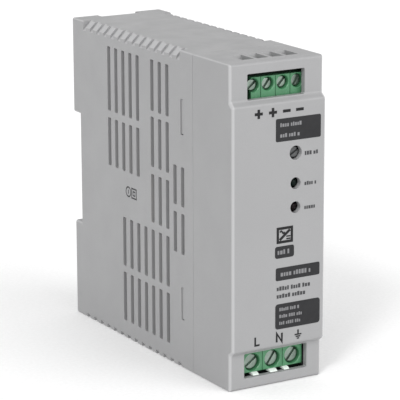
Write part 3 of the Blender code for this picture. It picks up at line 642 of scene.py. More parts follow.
def fine_edges(made, edge, segments=2, angle=38.0):
    """Rounds the sharp edges, in the first way that folds no face over itself."""
    plain = made.data
    best = None
    for split, share in BEVEL_TRIALS:
        made.data = plain.copy()
        if split:
            split_concave(made.data)
        bevel_edges(
            made, edge * share, segments,
            limit_method="ANGLE", angle_limit=math.radians(angle), miter_outer="MITER_ARC",
        )
        folded = folded_area(made.data)
        if best is None or folded < best[0]:
            best = (folded, made.data)
        if folded < FOLD_LIMIT:
            break
    made.data = best[1]


def dress(made, look, node=None, body="case"):
    """Gives a piece its look, the CAD node it stands for and its body; a look by name is a slot."""
    made.data.shade_smooth()
    made.data.materials.clear()
    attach(made, body)
    if isinstance(look, str):
        look = FINISHES[look]
    made.data.materials.append(look)
    if node:
        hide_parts(node)
    return made


def finish(made, look, node=None, body="case", edge=0.12, segments=2, angle=38.0):
    """Gives a piece its fine edge rounding, smooth shading, look, node and body."""
    tidy_mesh(made)
    if edge:
        fine_edges(made, edge, segments, angle)
    dress(made, look, node, body)
    made.data.set_sharp_from_angle(angle=SHARP_ANGLE)
    weighted = made.modifiers.new("weighted_normal", "WEIGHTED_NORMAL")
    weighted.keep_sharp = True
    weighted.mode = "FACE_AREA_WITH_ANGLE"
    return made


def piece(name, bm, look, node=None, body="case", steps=(), edge=0.12, segments=2, angle=38.0):
    """A named piece made of a mesh and its boolean steps."""
    made = as_object(name, bm)
    if steps:
        shape_with(made, *steps)
    return finish(made, look, node, body, edge, segments, angle)


def from_node(node, name, edge, segments=2, body="case", steps=()):
    """A copy of a CAD node's own shape, welded and cleared of flat edges, with detail added by steps."""
    bm = bmesh.new()
    bm.from_mesh(frame["nodes"][node].data)
    bmesh.ops.remove_doubles(bm, verts=bm.verts, dist=1e-6)
    bmesh.ops.dissolve_limit(bm, angle_limit=FLAT_ANGLE, verts=bm.verts, edges=bm.edges)
    bm.transform(Matrix.Scale(1 / MM, 4))
    return piece(name, bm, SLOT_OF[node], node, body, steps, edge, segments)


# Case


def column_y(column):
    return FIRST_COLUMN_Y + COLUMN_PITCH * column


def case_outline():
    low, high = FASCIA_Z
    return [
        (FRONT_Y, 0.0), (REAR_Y, 0.0), (REAR_Y, RECESS_Z[0]), (SEAT_Y, RECESS_Z[0]), (SEAT_Y, RECESS_Z[1]),
        (REAR_Y, RECESS_Z[1]), (REAR_Y, HEIGHT), (FRONT_Y, HEIGHT), (FRONT_Y, high + FASCIA_SLOPE),
        (FASCIA_Y, high), (FASCIA_Y, low), (FRONT_Y, low - FASCIA_SLOPE),
    ]


def edge_radius(first, second):
    """The rounding of one edge of the case's outline solid, in mm."""
    front = max(first.y, second.y) < FRONT_Y + 0.1
    rear = min(first.y, second.y) > SEAT_Y - 0.1
    if abs(first.x - second.x) < 1e-6:
        if front:
            return FRONT_RADIUS
        return REAR_RADIUS if rear else LONG_RADIUS
    z = first.z
    if front:
        corner = z < 1 or z > HEIGHT - 1
        return REAR_RADIUS if corner else 0.5
    return 0.0 if first.y < REAR_Y - 0.1 else LONG_RADIUS


def case_solid(name):
    bm = put_prism(new(), case_outline(), "X", about(0, HALF_WIDTH))
    weight = bm.edges.layers.float.new("bevel_weight_edge")
    for edge in bm.edges:
        edge[weight] = edge_radius(edge.verts[0].co, edge.verts[1].co) / FRONT_RADIUS
    made = as_object(name, bm)
    bevel_edges(made, FRONT_RADIUS, 6, limit_method="WEIGHT")
    return made


def vent_cutter():
    bm = new()
    for first, columns, low, high in VENT_GROUPS:
        for column in range(first, first + columns):
            outline = rounded(about(column_y(column), SLOT_HALF), (low, high), SLOT_CORNER, 3)
            put_prism(bm, outline, "X", about(0, HALF_WIDTH + 1))
    return bm


def edge_cutter(cuts_wanted):
    """Cubes turned by 45 degrees over the long edges; each cut is (edge height, leg, lower y, upper y)."""
    turn = Matrix.Rotation(math.radians(45), 4, "Y")
    bm = new()
    for edge_z, leg, low, high in cuts_wanted:
        out = (2 * leg / math.sqrt(2) - leg) / 2
        z = edge_z + out if edge_z else -out
        for x in (-HALF_WIDTH - out, HALF_WIDTH + out):
            put_box(bm, about(x, leg), (low, high), about(z, leg), turn)
    return bm


def comb_cutter():
    notches = []
    for column in COMB_COLUMNS:
        for edge_z, leg in COMB_LEGS.items():
            notches.append((edge_z, leg, *about(column_y(column), COMB_HALF)))
    return edge_cutter(notches)


def side_marks(x, inset=0.0):
    """Generic marks for the left side: the two nested squares of double insulation and a date ring."""
    bm = new()
    for outer, stroke in ((1.75, 0.5), (0.85, 0.45)):
        half = outer - inset
        put_frame(bm, about(SQUARES_Y, half), about(SIDE_MARK_Z, half), stroke - 2 * inset, "X", x)
    outer, inner = 1.75 - inset, 1.25 + inset
    ring = [(outer, 0.0), (outer, x[1] - x[0]), (inner, x[1] - x[0]), (inner, 0.0)]
    put_lathe(bm, ring, (x[0], RING_Y, SIDE_MARK_Z), "X", 40, closed=True)
    put_box(bm, x, about(RING_Y, 0.25 - inset), about(SIDE_MARK_Z, 0.7 - inset))
    return bm


def side_mark_ink():
    """Dark ink in the bottom of the sunk marks."""
    ink = side_marks((-HALF_WIDTH + 0.06, -HALF_WIDTH + 0.27), 0.04)
    piece("side_mark_ink", ink, PRINT_FAINT, edge=0)


def rear_housing():
    """The rear shell: hollow, open at the seam, cut for the rail and the latch, with vents and combs."""
    housing = case_solid("housing_shell")
    inner = HALF_WIDTH - HOUSING_WALL
    top = HEIGHT - HOUSING_WALL
    front = put_box(new(), BEYOND_X, (-60, SEAM_Y + SEAM_HALF_GAP), BEYOND_Z)
    cavity = put_prism(
        new(), rounded(about(0, inner), (HOUSING_WALL, top), 0.8, 3), "Y", (SEAM_Y - 5, REAR_WALL_Y)
    )
    pockets = []
    for side, z in POCKETS:
        pocket = new()
        for x in both_sides((side, inner - 0.01)):
            put_box(pocket, x, (REAR_WALL_Y - 1, POCKET_Y), z)
        pockets.append(pocket)
    notch = put_box(new(), about(0, 7), (45.7, 50), (70.5, 98.5))
    foot = put_box(new(), about(0, LATCH_GUIDE_HALF), (SEAT_Y, 46.2), LATCH_RUN_Z)
    channel = put_box(new(), about(0, 5.9), (45.9, 50), LATCH_RUN_Z)
    reliefs = new()
    put_box(reliefs, about(0, 12.3), (SEAT_Y - 0.3, SEAT_Y + 1), (63.7, RECESS_Z[1]))
    put_box(reliefs, about(0, 6.2), (SEAT_Y - 0.3, SEAT_Y + 1), (30.2, 34.2))
    lip = put_box(new(), about(0, 12), (46.1, 48.6), (64.0, 69.0))
    spring_seat = put_box(new(), about(0, 1.9), (SEAT_Y - 1, 48.2), (8.3, 10.0))
    windows = new()
    for x in both_sides((inner - 1, HALF_WIDTH + 1)):
        for z in SNAP_WINDOWS:
            put_prism(windows, rounded(SNAP_Y, z, 0.3, 3), "X", x)
    shape_with(
        housing, *cuts(front, cavity, *pockets, notch, foot, channel, reliefs), *joins(lip, spring_seat),
        *cuts(vent_cutter(), windows, side_marks((-HALF_WIDTH - 1, -HALF_WIDTH + SIDE_MARK_DEPTH))),
    )
    tidy_mesh(housing)
    fine_edges(housing, 0.13)
    first, last = (column_y(column) for column in CHAMFER_COLUMNS)
    shape_with(housing, *cuts(edge_cutter([(HEIGHT, CHAMFER_LEG, first, last)]), comb_cutter()))
    return finish(housing, "case_plastic", "rear_housing", edge=0)


def front_cover():
    """The front shell, with its openings, the lap inside the seam and the snap tongues."""
    cover = case_solid("cover_shell")
    inner = HALF_WIDTH - COVER_WALL
    low, high = FASCIA_Z
    rear = put_box(new(), BEYOND_X, (SEAM_Y - SEAM_HALF_GAP, 60), BEYOND_Z)
    front_y, fascia_y, rear_y = FRONT_Y + COVER_WALL, FASCIA_Y + COVER_WALL, SEAM_Y + 5
    hollow = put_prism(new(), [
        (front_y, COVER_WALL), (rear_y, COVER_WALL), (rear_y, HEIGHT - COVER_WALL),
        (front_y, HEIGHT - COVER_WALL), (front_y, high), (fascia_y, high - FASCIA_SLOPE),
        (fascia_y, low + FASCIA_SLOPE), (front_y, low),
    ], "X", about(0, inner))
    windows = new()
    for x, z in (OUTPUT_WINDOW, INPUT_WINDOW):
        put_prism(windows, rounded(x, z, 0.35, 3), "Y", (-50.5, -44.0))
    entries = [wire_entries(layout) for layout in (OUTPUT, INPUT)]
    holes = put_round(new(), (INDICATOR_X, -47, TRIM_POT_Z), "Y", TRIM_HOLE_RADIUS, 8, 56)
    for z in LED_ZS.values():
        put_round(holes, (INDICATOR_X, -47, z), "Y", LED_HOLE_RADIUS, 8, 48)
    plates, roots, barbs = new(), new(), new()
    for bottom, top in SNAP_WINDOWS:
        for x in both_sides((12.5, 13.7)):
            put_box(plates, x, (-30.5, -17.5), (bottom + 0.2, top - 0.2))
        for x in both_sides((12.7, inner + 0.5)):
            put_box(roots, x, (-30.2, SEAM_Y - 1.0), (bottom + 0.4, top - 0.4))
        for x in both_sides((12.9, HALF_WIDTH - 0.3)):
            put_box(barbs, x, (SNAP_Y[0] + 0.16, SNAP_Y[1] - 0.16), (bottom + 0.22, top - 0.22))
    lap = put_frame(new(), about(0, 13.9), (2.1, 95.4), 0.65, "Y", (-27.6, -25.4))
    bridge = new()
    for x in both_sides((13.3, inner + 0.4)):
        put_box(bridge, x, BRIDGE_Y, (2.2, 95.3))
    for z in ((1.5, 2.6), (94.9, 96.0)):
        put_box(bridge, about(0, 13.0), BRIDGE_Y, z)
    shape_with(
        cover, *cuts(rear, hollow, windows, *entries, holes), *joins(lap, bridge, plates, roots, barbs)
    )
    return finish(cover, "case_plastic", "front_cover", edge=0.15)


# Printed marks


def put_plate(bm, outline, front=PRINT_Y):
    """A thin printed patch on the fascia, from an (x, z) outline."""
    return put_prism(bm, outline, "Y", (front, PRINT_BACK_Y))


def put_stroke(bm, points, width):
    """A printed line of constant width with mitred corners."""
    points = [Vector(point) for point in points]
    left, right = [], []
    for index, point in enumerate(points):
        before = (point - points[index - 1]).normalized() if index else None
        after = (points[index + 1] - point).normalized() if index + 1 < len(points) else None
        along = ((before or after) + (after or before)).normalized()
        normal = Vector((-along.y, along.x))
        share = max(0.4, (before or after).dot(along))
        left.append(point + normal * (width / 2 / share))
        right.append(point - normal * (width / 2 / share))
    return put_plate(bm, [tuple(point) for point in left + right[::-1]])


def put_text_line(bm, draw, x, z, height):
    """A line of unreadable small print: plain blocks in word-like runs, which spell nothing."""
    place = x[0]
    low = z - height / 2
    while place < x[1] - height * 0.5:
        for _ in range(draw.choice((3, 4, 5))):
            width = height * draw.choice((0.42, 0.5, 0.6))
            if place + width > x[1]:
                break
            tall = height * draw.choice((0.82, 1.0))
            put_plate(bm, bar((place, place + width), (low, low + tall)))
            place += width + height * 0.2
        place += height * 0.4
    return bm


def plus(x, z, half, stroke):
    across, along = about(x, half), about(x, stroke)
    up, beside = about(z, half), about(z, stroke)
    return [(along[0], up[0]), (along[1], up[0]), (along[1], beside[0]), (across[1], beside[0]),
            (across[1], beside[1]), (along[1], beside[1]), (along[1], up[1]), (along[0], up[1]),
            (along[0], beside[1]), (across[0], beside[1]), (across[0], beside[0]), (along[0], beside[0])]


def printed_marks():
    draw = random.Random(7)
    panels = new()
    for x, z, corner in LABEL_PANELS:
        put_plate(panels, rounded(x, z, corner), PRINT_Y + 0.02)
    piece("label_panels", panels, PRINT_DARK, edge=0)
    for name, look, lines in (
        ("label_small_print", PRINT_PALE, LABEL_LINES), ("fascia_small_print", PRINT_FAINT, FASCIA_LINES),
    ):
        print_lines = new()
        for x, z, height in lines:
            put_text_line(print_lines, draw, x, z, height)
        piece(name, print_lines, look, edge=0)
    marks = new()
    for x in (-7.2, -2.4):
        put_plate(marks, plus(x, 82.6, 1.35, 0.42))
    for x in (2.3, 6.8):
        put_plate(marks, bar(about(x, 1.3), (82.2, 83.05)))
    put_stroke(marks, [(-8.2, 16.1), (-8.2, 13.6), (-6.7, 13.6)], 0.55)
    put_stroke(marks, [(-0.75, 13.4), (-0.75, 16.1), (1.05, 13.4), (1.05, 16.1)], 0.65)
    put_stroke(marks, [(6.7, 16.2), (6.7, 14.95)], 0.5)
    for half, z in ((1.2, 14.75), (0.8, 14.15), (0.4, 13.55)):
        put_plate(marks, bar(about(6.7, half), about(z, 0.2)))
    piece("terminal_marks", marks, PRINT_MARK, edge=0)
    symbol = new()
    x, z = (-0.95, 4.7), (43.35, 48.25)
    stroke = 0.8
    inset = stroke + 0.25
    put_frame(symbol, x, z, stroke, "Y", (PRINT_Y, PRINT_BACK_Y))
    put_stroke(symbol, [(x[0] + inset, z[0] + inset), (x[1] - inset, z[1] - inset)], stroke)
    wave = [(x[0] + 1.15 + 0.2 * step, 46.7 + 0.38 * math.sin(math.pi * step / 4)) for step in range(9)]
    put_stroke(symbol, wave, 0.5)
    for z in ((45.1, 45.5), (44.35, 44.75)):
        put_plate(symbol, bar((2.4, 3.8), z))
    piece("converter_symbol", symbol, PRINT_MARK, edge=0)


# Terminals


def depth(value):
    return BLOCK_FRONT_Y + value


def heights(layout, low, high):
    """Two distances outward from a row of screws as a span of z."""
    return tuple(sorted(layout["z"] + layout["out"] * value for value in (low, high)))


def screw_xs(layout):
    first = layout["x"] - layout["pitch"] * (layout["count"] - 1) / 2
    return [first + layout["pitch"] * index for index in range(layout["count"])]


def wire_entries(layout):
    """One funnel per pole, slanting from the outside of the case back to the clamp."""
    outline = [(depth(back), layout["z"] + layout["out"] * height) for back, height in ENTRY_OUTLINE]
    bm = new()
    for x in screw_xs(layout):
        put_prism(bm, outline, "X", about(x, layout["entry_half"]))
    return bm


def terminal_block(layout):
    """Bores for the screws in a front face that is set back along the wire side and at one end."""
    side = layout["side"]
    step_x, step_height = layout["step"]
    whole = (depth(0), depth(BLOCK_DEPTH))
    block = put_box(new(), about(layout["x"], layout["half"]), whole, heights(layout, -6.4, 5.0))
    set_back = (depth(-1), depth(STEP_DEPTH))
    above = put_box(new(), about(0, 15), set_back, heights(layout, step_height, 6.0))
    ends = (-15, step_x) if layout["out"] > 0 else (step_x, 15)
    beside = put_box(new(), ends, set_back, heights(layout, -8.0, 6.0))
    bores, chambers, slots, grooves = new(), new(), new(), new()
    radius = layout["head"] + 0.22
    neck = THREAD_RADIUS + 0.2
    chamfer = 0.25
    xs = screw_xs(layout)
    for x in xs:
        put_lathe(bores, [
            (0, -0.15), (radius + chamfer + 0.15, -0.15), (radius, chamfer), (radius, 2.95),
            (neck, 2.95), (neck, 5.0), (0, 5.0),
        ], (x, depth(0), layout["z"]), "Y", 48)
        clearance = about(x, layout["clamp_half"] + 0.2)
        put_box(chambers, clearance, (depth(3.2), depth(13.3)), heights(layout, -7.4, 3.4))
        put_box(slots, about(x, 1.4), (depth(11.0), depth(BLOCK_DEPTH + 2)), heights(layout, -7.4, -4.6))
    for x in xs[:-1]:
        between = x + layout["pitch"] / 2
        put_box(grooves, about(between, 0.1), (depth(-1), depth(0.4)), heights(layout, -8, 8))
    steps = cuts(above, beside, bores, chambers, wire_entries(layout), slots, grooves)
    piece(side + "_block", block, "terminal_plastic", side + "_terminal_housing", steps=steps, edge=0.05)


def terminal_screw(layout, index, x):
    """A slotted screw with a rounded head edge and thread rings on its shank."""
    name = layout["side"] + "_screw_" + str(index + 1)
    head, top = layout["head"], HEAD_DEPTHS[1] - HEAD_DEPTHS[0]
    length = THREAD_END - HEAD_DEPTHS[0]
    root = THREAD_RADIUS - 0.25
    profile = [(0.0, 0.0), (head - 0.45, 0.0), (head - 0.2, 0.06), (head - 0.05, 0.2), (head, 0.4),
               (head, top - 0.1), (head - 0.1, top), (root, top)]
    rings, height = thread_rings(root, THREAD_RADIUS, top + 0.2, length - 0.6)
    profile += rings + [(root, height), (THREAD_RADIUS - 0.4, length), (0.0, length)]
    front = (x, depth(HEAD_DEPTHS[0]), layout["z"])
    screw = put_lathe(new(), profile, front, "Y", 44)
    slot = turned_box(about(0, 4), (-1.0, 0.9), about(0, 0.4), front, -layout["angles"][index])
    piece(name + "_head", screw, "zinc_steel", name, name, cuts(slot), edge=0.05, angle=50.0)


def terminals(layout):
    terminal_block(layout)
    for index, x in enumerate(screw_xs(layout)):
        terminal_screw(layout, index, x)
        number = str(index + 1)
        clamp = layout["side"] + "_clamp_" + number
        from_node(clamp, clamp + "_cage", 0.18, 3, clamp)
        contact = layout["side"] + "_contact_" + number
        from_node(contact, contact + "_bar", 0.12)


def shade_strips(layout):
    """A dark strip of painted shade at the back of the set-back edges of a terminal block, where the gap lies
    in shadow.
    """
    step_x, step_height = layout["step"]
    y = (depth(STEP_DEPTH - 0.45), depth(STEP_DEPTH - 0.03))
    block = about(layout["x"], layout["half"])
    ends = (block[0], step_x - 0.05) if layout["out"] > 0 else (step_x + 0.05, block[1])
    bm = new()
    put_box(bm, block, y, heights(layout, step_height + 0.05, 4.95))
    put_box(bm, ends, y, heights(layout, -6.3, step_height))
    piece(layout["side"] + "_terminal_shade_strip", bm, PAINTED_SHADE_STRIP, edge=0.05)


def glint_tabs():
    """Pale tabs that paint glints in the gap below the input screws."""
    tabs = new()
    outline = [(-46.5, 3.5), (-44.0, 3.5), (-44.0, 4.25), (-45.6, 4.25), (-46.5, 3.8)]
    for x, half in ((-6.3, 1.0), (-0.1, 1.25), (4.4, 0.9)):
        put_prism(tabs, outline, "X", about(x, half))
    piece("input_glint_tabs", tabs, PAINTED_GLINT, edge=0.08)


# Indicators, adjuster and rail latch


def indicator(node, z, look):
    """An indicator with a round dome and a flange, on two leads."""
    front = PRINT_Y + 0.8
    radius, length = 1.4, 5.55
    flange = length - 1.0
    profile = []
    for degrees in range(0, 91, 10):
        along, out = on_circle(radius, math.radians(degrees))
        profile.append((out, radius - along))
    profile += [(radius, flange), (1.8, flange), (1.8, length), (0.0, length)]
    lens = put_lathe(new(), profile, (INDICATOR_X, front, z), "Y", 40)
    piece(node + "_lens", lens, look, node, edge=0.08)
    leads = new()
    for x in about(INDICATOR_X, 1.27):
        put_box(leads, about(x, 0.25), (front + length + 0.02, FRONT_BOARD_Y[1] + 1.1), about(z, 0.25))
    piece(node + "_leads", leads, "tinned_brass", node, edge=0.06)


def trim_pot():
    """The adjuster: a square body with a sunk collar and a slotted spindle that turns."""
    x, z = INDICATOR_X, TRIM_POT_Z
    y = (-38.4, FRONT_BOARD_Y[0] - GAP)
    body = put_prism(new(), rounded(about(x, 3.5), about(z, 3.5), 0.5), "Y", y)
    seat = put_round(new(), (x, y[0], z), "Y", 1.95, 8.0)
    ring = [(3.0, -1.0), (3.0, 0.35), (2.6, 0.35), (2.6, -1.0)]
    collar = put_lathe(new(), ring, (x, y[0], z), "Y", 40, closed=True)
    piece("trimmer_body", body, "trimmer_blue", "trim_pot_body", steps=cuts(seat, collar))
    front = (x, PRINT_Y + 1.2, z)
    radius, length = 1.65, 11.8
    spindle = [(0.0, 0.0), (radius - 0.35, 0.0), (radius - 0.15, 0.08), (radius - 0.03, 0.25), (radius, 0.45),
               (radius, length - 0.1), (radius - 0.1, length), (0.0, length)]
    rotor = put_lathe(new(), spindle, front, "Y", 44)
    slot = turned_box(about(0, 3), (-1, 0.8), about(0, 0.3), front, -30.0)
    piece("trimmer_spindle", rotor, "trimmer_rotor", "trim_pot_rotor", "trim_spindle", cuts(slot), edge=0.06)


def rail_latch():
    ribs = new()
    for index in range(6):
        z = 23.6 + 1.15 * index
        put_box(ribs, about(0, 4.4), (48.35, 50.0), (z, z + 0.5))
    from_node("rail_latch", "rail_latch_slider", 0.1, 2, "latch", cuts(ribs))


def latch_spring():
    """A wound spring with closed end turns, built at one length; the real spring shortens as the latch is
    drawn.
    """
    wire, radius, axis_y = 0.25, 1.35, 46.8
    low, high = 10.0 + wire + 0.1, 22.0 - wire - 0.1
    steps, turns = 24, 7.5
    end_turns, end_rise = 0.75, 0.42
    points = []
    for index in range(int(steps * turns) + 1):
        turn = index / steps
        share = (turn - end_turns) / (turns - 2 * end_turns)
        if share < 0:
            height = low + end_rise * turn / end_turns
        elif share > 1:
            height = high - end_rise * (turns - turn) / end_turns
        else:
            height = low + end_rise + (high - low - 2 * end_rise) * share
        x, y = on_circle(radius, 2 * math.pi * turn)
        points.append((x, axis_y + y, height))
    made = as_object("latch_spring_coil", put_tube(new(), points, wire, 10))
    dress(made, "spring_steel", "latch_spring")
    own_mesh(made)


# Electronics


def put_solder(bm, points, axis, radius=0.95, height=0.5):
    """Solder fillets round lead ends."""
    profile = [(0.0, 0.0), (radius, 0.0), (radius * 0.62, height * 0.3), (radius * 0.36, height * 0.75),
               (radius * 0.2, height), (0.0, height)]
    for point in points:
        put_lathe(bm, profile, point, axis, 14)
    return bm


def boards():
    for node, name, edge in (
        ("main_board", "main_circuit_board", 0.08),
        ("front_board", "front_circuit_board", 0.08),
        ("insulation_sheet", "insulating_film", 0.05),
    ):
        from_node(node, name, edge)
    solder = new()
    for ys, zs in SOLDER_SPOTS:
        for y in ys:
            put_solder(solder, [(BOARD_BACK_X, y, z) for z in zs], "X")
    piece("main_board_solder", solder, SOLDER, edge=0)
    from_node("board_link_header", "board_link_header_body", 0.1)
    pins = new()
    for index in range(7):
        put_box(pins, (6.2, 6.78), (-28.3, -27.7), about(32.4 + PIN_PITCH * index, 0.3))
    piece("board_link_pins", pins, "tinned_brass", edge=0.06)


def can(node, y, z, radius, height):
    """A capacitor can: shrink sleeve with rolled groove, pale stripe and a scored metal top."""
    rim = radius - 0.4
    waist = radius - 0.12
    profile = [(0.0, height - 0.35), (rim - 1.2, height - 0.35), (rim - 1.1, height), (rim - 0.5, height),
               (radius - 0.15, height - 0.35), (radius, height - 0.9), (radius, 3.1), (waist, 2.8),
               (rim, 2.4), (waist, 2.0), (radius, 1.7), (radius, 0.5), (rim, 0.02), (0.0, 0.02)]
    centre = (COMPONENT_X, y, z)
    sleeve = put_lathe(new(), profile, centre, "-X", 56)
    piece(node + "_sleeve", sleeve, "capacitor_sleeve", node, edge=0)
    low, high = height - 0.33, height - 0.12
    plate = [(0.0, low), (rim - 1.25, low), (rim - 1.3, high), (0.0, high)]
    top = put_lathe(new(), plate, centre, "-X", 56)
    face = COMPONENT_X - height + 0.12
    x, reach = (face - 0.5, face + 0.08), about(0, radius * 0.62)
    score = [turned_box(x, reach, about(0, 0.12), (0, y, z), turn, "X") for turn in (45, 135)]
    piece(node + "_top", top, CAN_METAL, node, steps=cuts(*score), edge=0.03)
    angles = [math.radians(155 + 6 * step) for step in range(9)]
    outer = [on_circle(radius + 0.03, angle) for angle in angles]
    inner = [on_circle(radius - 0.02, angle) for angle in reversed(angles)]
    outline = [(y + u, z + v) for u, v in outer + inner]
    stripe = put_prism(new(), outline, "X", (COMPONENT_X - height + 1.0, COMPONENT_X - 3.2))
    piece(node + "_stripe", stripe, SLEEVE_STRIPE, node, edge=0)


def disc(node, y, z, radius, thickness):
    """A dipped disc with a round rim and a meniscus of coating down its leads."""
    middle = COMPONENT_X - radius - 3.0
    half = thickness / 2
    bulge = half * 0.8
    profile = [(0.0, -half)]
    for step in range(9):
        angle = math.radians(-90 + 22.5 * step)
        profile.append((radius - bulge + bulge * math.cos(angle), half * math.sin(angle)))
    profile.append((0.0, half))
    body = put_lathe(new(), profile, (middle, y, z), "Z", 44)
    neck = [(0.0, 0.0), (0.75, 0.0), (0.55, radius * 0.6), (0.42, radius + 1.2), (0.0, radius + 1.3)]
    necks, leads = new(), new()
    for side in (-2.5, 2.5):
        start_y, end_y = y + side * 0.8, y + side
        put_lathe(necks, neck, (middle, start_y, z), "X", 16)
        put_tube(leads, [
            (middle + radius + 0.4, start_y, z), (middle + radius + 1.4, start_y, z),
            (middle + radius + 2.2, end_y, z), (COMPONENT_X + 0.28, end_y, z),
        ], 0.3, 10)
    piece(node + "_disc", body, SLOT_OF[node], node, steps=joins(necks), edge=0)
    piece(node + "_leads", leads, "tinned_brass", node, edge=0)


def fuse():
    """A ceramic tube fuse with metal end caps in two clips."""
    x, y, z = COMPONENT_X - 3.0, -13.0, 8.5
    centre = (x, y, z)
    bore, half = 2.35, 7.6
    tube = put_lathe(new(), [(0, -half), (bore, -half), (bore, half), (0, half)], centre, "Y", 40)
    piece("fuse_tube", tube, "fuse_ceramic", "fuse", edge=0.1)
    caps = new()
    cap = [(0, 5.4), (2.45, 5.4), (2.6, 5.6), (2.6, 9.6), (2.35, 9.95), (0, 10.0)]
    for sign in (-1, 1):
        put_lathe(caps, [(radius, along * sign) for radius, along in cap], centre, "Y", 40)
    hollow = put_round(new(), centre, "Y", bore, 2 * half, 40)
    piece("fuse_caps", caps, "tinned_brass", "fuse", steps=cuts(hollow), edge=0.06)
    leads = new()
    for lead_y in about(y, 7.5):
        put_box(leads, (x + 2.55, LEAD_END_X), about(lead_y, 0.9), about(z, 0.3))
    piece("fuse_clips", leads, "tinned_brass", "fuse", edge=0.08)


def common_mode_choke():
    """A ferrite ring with separate turns of enamelled wire on each half."""
    centre = Vector((-1.5, 6.5, 23.5))
    outer, inner, half = 8.4, 4.6, 3.4
    edge, wire = 0.5, 0.36
    ring = [(outer - edge, half), (outer, half - edge), (outer, edge - half), (outer - edge, -half),
            (inner + edge, -half), (inner, edge - half), (inner, half - edge), (inner + edge, half)]
    core = put_lathe(new(), ring, centre, "X", 64, closed=True)
    piece("choke_ring", core, "ferrite", "choke_core", edge=0.15)
    section = rounded((inner - 0.32 - wire, outer + 0.3 + wire), about(0, half + 0.3 + wire), 0.9, 4)
    for side, sign in (("a", 1), ("b", -1)):
        bm = new()
        for index in range(11):
            angle = math.radians(90 * sign + (index - 5) * 13.4)
            points = [centre + Vector((along, *on_circle(radius, angle))) for radius, along in section]
            put_tube(bm, points, wire, 8, closed=True)
        piece("choke_turns_" + side, bm, "copper_winding", "choke_winding_" + side, edge=0)


def drum():
    """A drum core with its winding showing in the waist."""
    node = "output_inductor"
    profile = [(0.0, 15.0), (6.2, 15.0), (6.5, 14.7), (6.5, 12.8), (6.2, 12.5), (4.6, 12.5), (4.6, 2.5),
               (6.2, 2.5), (6.5, 2.2), (6.5, 0.3), (6.2, 0.0), (0.0, 0.0)]
    centre = (COMPONENT_X, 9.5, 83.0)
    piece(node + "_core", put_lathe(new(), profile, centre, "-X", 56), "ferrite", node, edge=0.08)
    turns = new()
    for index in range(12):
        x = -2.98 - 0.822 * index
        circle = [Vector((x, *on_circle(5.1, 2 * math.pi * step / 48))) for step in range(48)]
        put_tube(turns, [Vector(centre) + point for point in circle], 0.4, 8, closed=True)
    piece(node + "_turns", turns, "copper_winding", node, edge=0)


def power_tab(node, z, face_y):
    """A power semiconductor: a moulded body on a metal tab with a hole, and three leads."""
    back = face_y - GAP
    low, high = back - 4.5, back - 0.02
    outline = [(-4.9, low), (4.4, low), (4.5, high - 1.2), (4.5, high), (-5.0, high), (-5.0, high - 1.2)]
    body = put_prism(new(), outline, "Z", about(z, 5.1))
    dimple = put_round(new(), (2.2, low, z + 3.4), "Y", 0.7, 0.3, 24)
    piece(node + "_body", body, "black_epoxy", node, steps=cuts(dimple), edge=0.15)
    tab = put_prism(new(), rounded((-11.2, -4.9), about(z, 5.0), 0.6), "Y", (back - 1.3, high))
    hole = put_round(new(), (TAB_SCREW_X, back, z), "Y", 1.75, 6.0, 32)
    piece(node + "_tab", tab, "tinned_brass", node, steps=cuts(hole), edge=0.1)
    leads = new()
    for lead_z in (z - PIN_PITCH, z, z + PIN_PITCH):
        put_box(leads, (4.45, 6.2), (back - 3.0, back - 2.3), about(lead_z, 0.62))
        put_box(leads, (6.22, LEAD_END_X), (back - 2.9, back - 2.4), about(lead_z, 0.38))
    piece(node + "_leads", leads, "tinned_brass", node, edge=0.06)


def heatsink_screw(node, z, face_y):
    """A pan-head screw with a cross recess."""
    front = (TAB_SCREW_X, face_y - GAP - 1.3 - GAP - 2.2, z)
    head = [(0.0, 0.0), (1.3, 0.05), (2.0, 0.3), (2.5, 0.9), (2.7, 1.5), (2.7, 2.2), (1.2, 2.2)]
    rings, height = thread_rings(1.2, 1.4, 2.3, 7.2)
    profile = head + rings + [(1.2, height), (1.0, 7.7), (0.0, 7.7)]
    screw = put_lathe(new(), profile, front, "Y", 36)
    recess = [turned_box(about(0, 1.35), (-0.5, 1.1), about(0, 0.27), front, turn) for turn in (25, 115)]
    piece(node + "_body", screw, "zinc_steel", node, steps=cuts(*recess), edge=0.05)


def package(node, y, z, length, pins):
    """A dual in-line package with a notch, a pin-one dot and formed legs."""
    back = COMPONENT_X - 0.6
    front, end = back - 3.4, z + length / 2
    body = put_box(new(), (front, back), about(y, 3.2), about(z, length / 2))
    notch = put_round(new(), (front, y, end), "X", 0.8, 0.8, 28)
    dot = put_round(new(), (front, y - 2.2, end - 1.1), "X", 0.4, 0.4, 24)
    piece(node + "_body", body, SLOT_OF[node], node, steps=cuts(notch, dot), edge=0.15)
    leg = [(back - 1.9, 3.25), (back - 1.9, 4.2), (LEAD_END_X, 4.2), (LEAD_END_X, 3.95), (back - 1.65, 3.95),
           (back - 1.65, 3.25)]
    legs = new()
    for index in range(pins // 2):
        pin_z = z + (index - (pins / 2 - 1) / 2) * PIN_PITCH
        for sign in (-1, 1):
            put_prism(legs, [(x, y + sign * out) for x, out in leg], "Z", about(pin_z, 0.4))
    piece(node + "_legs", legs, "tinned_brass", node, edge=0.05)


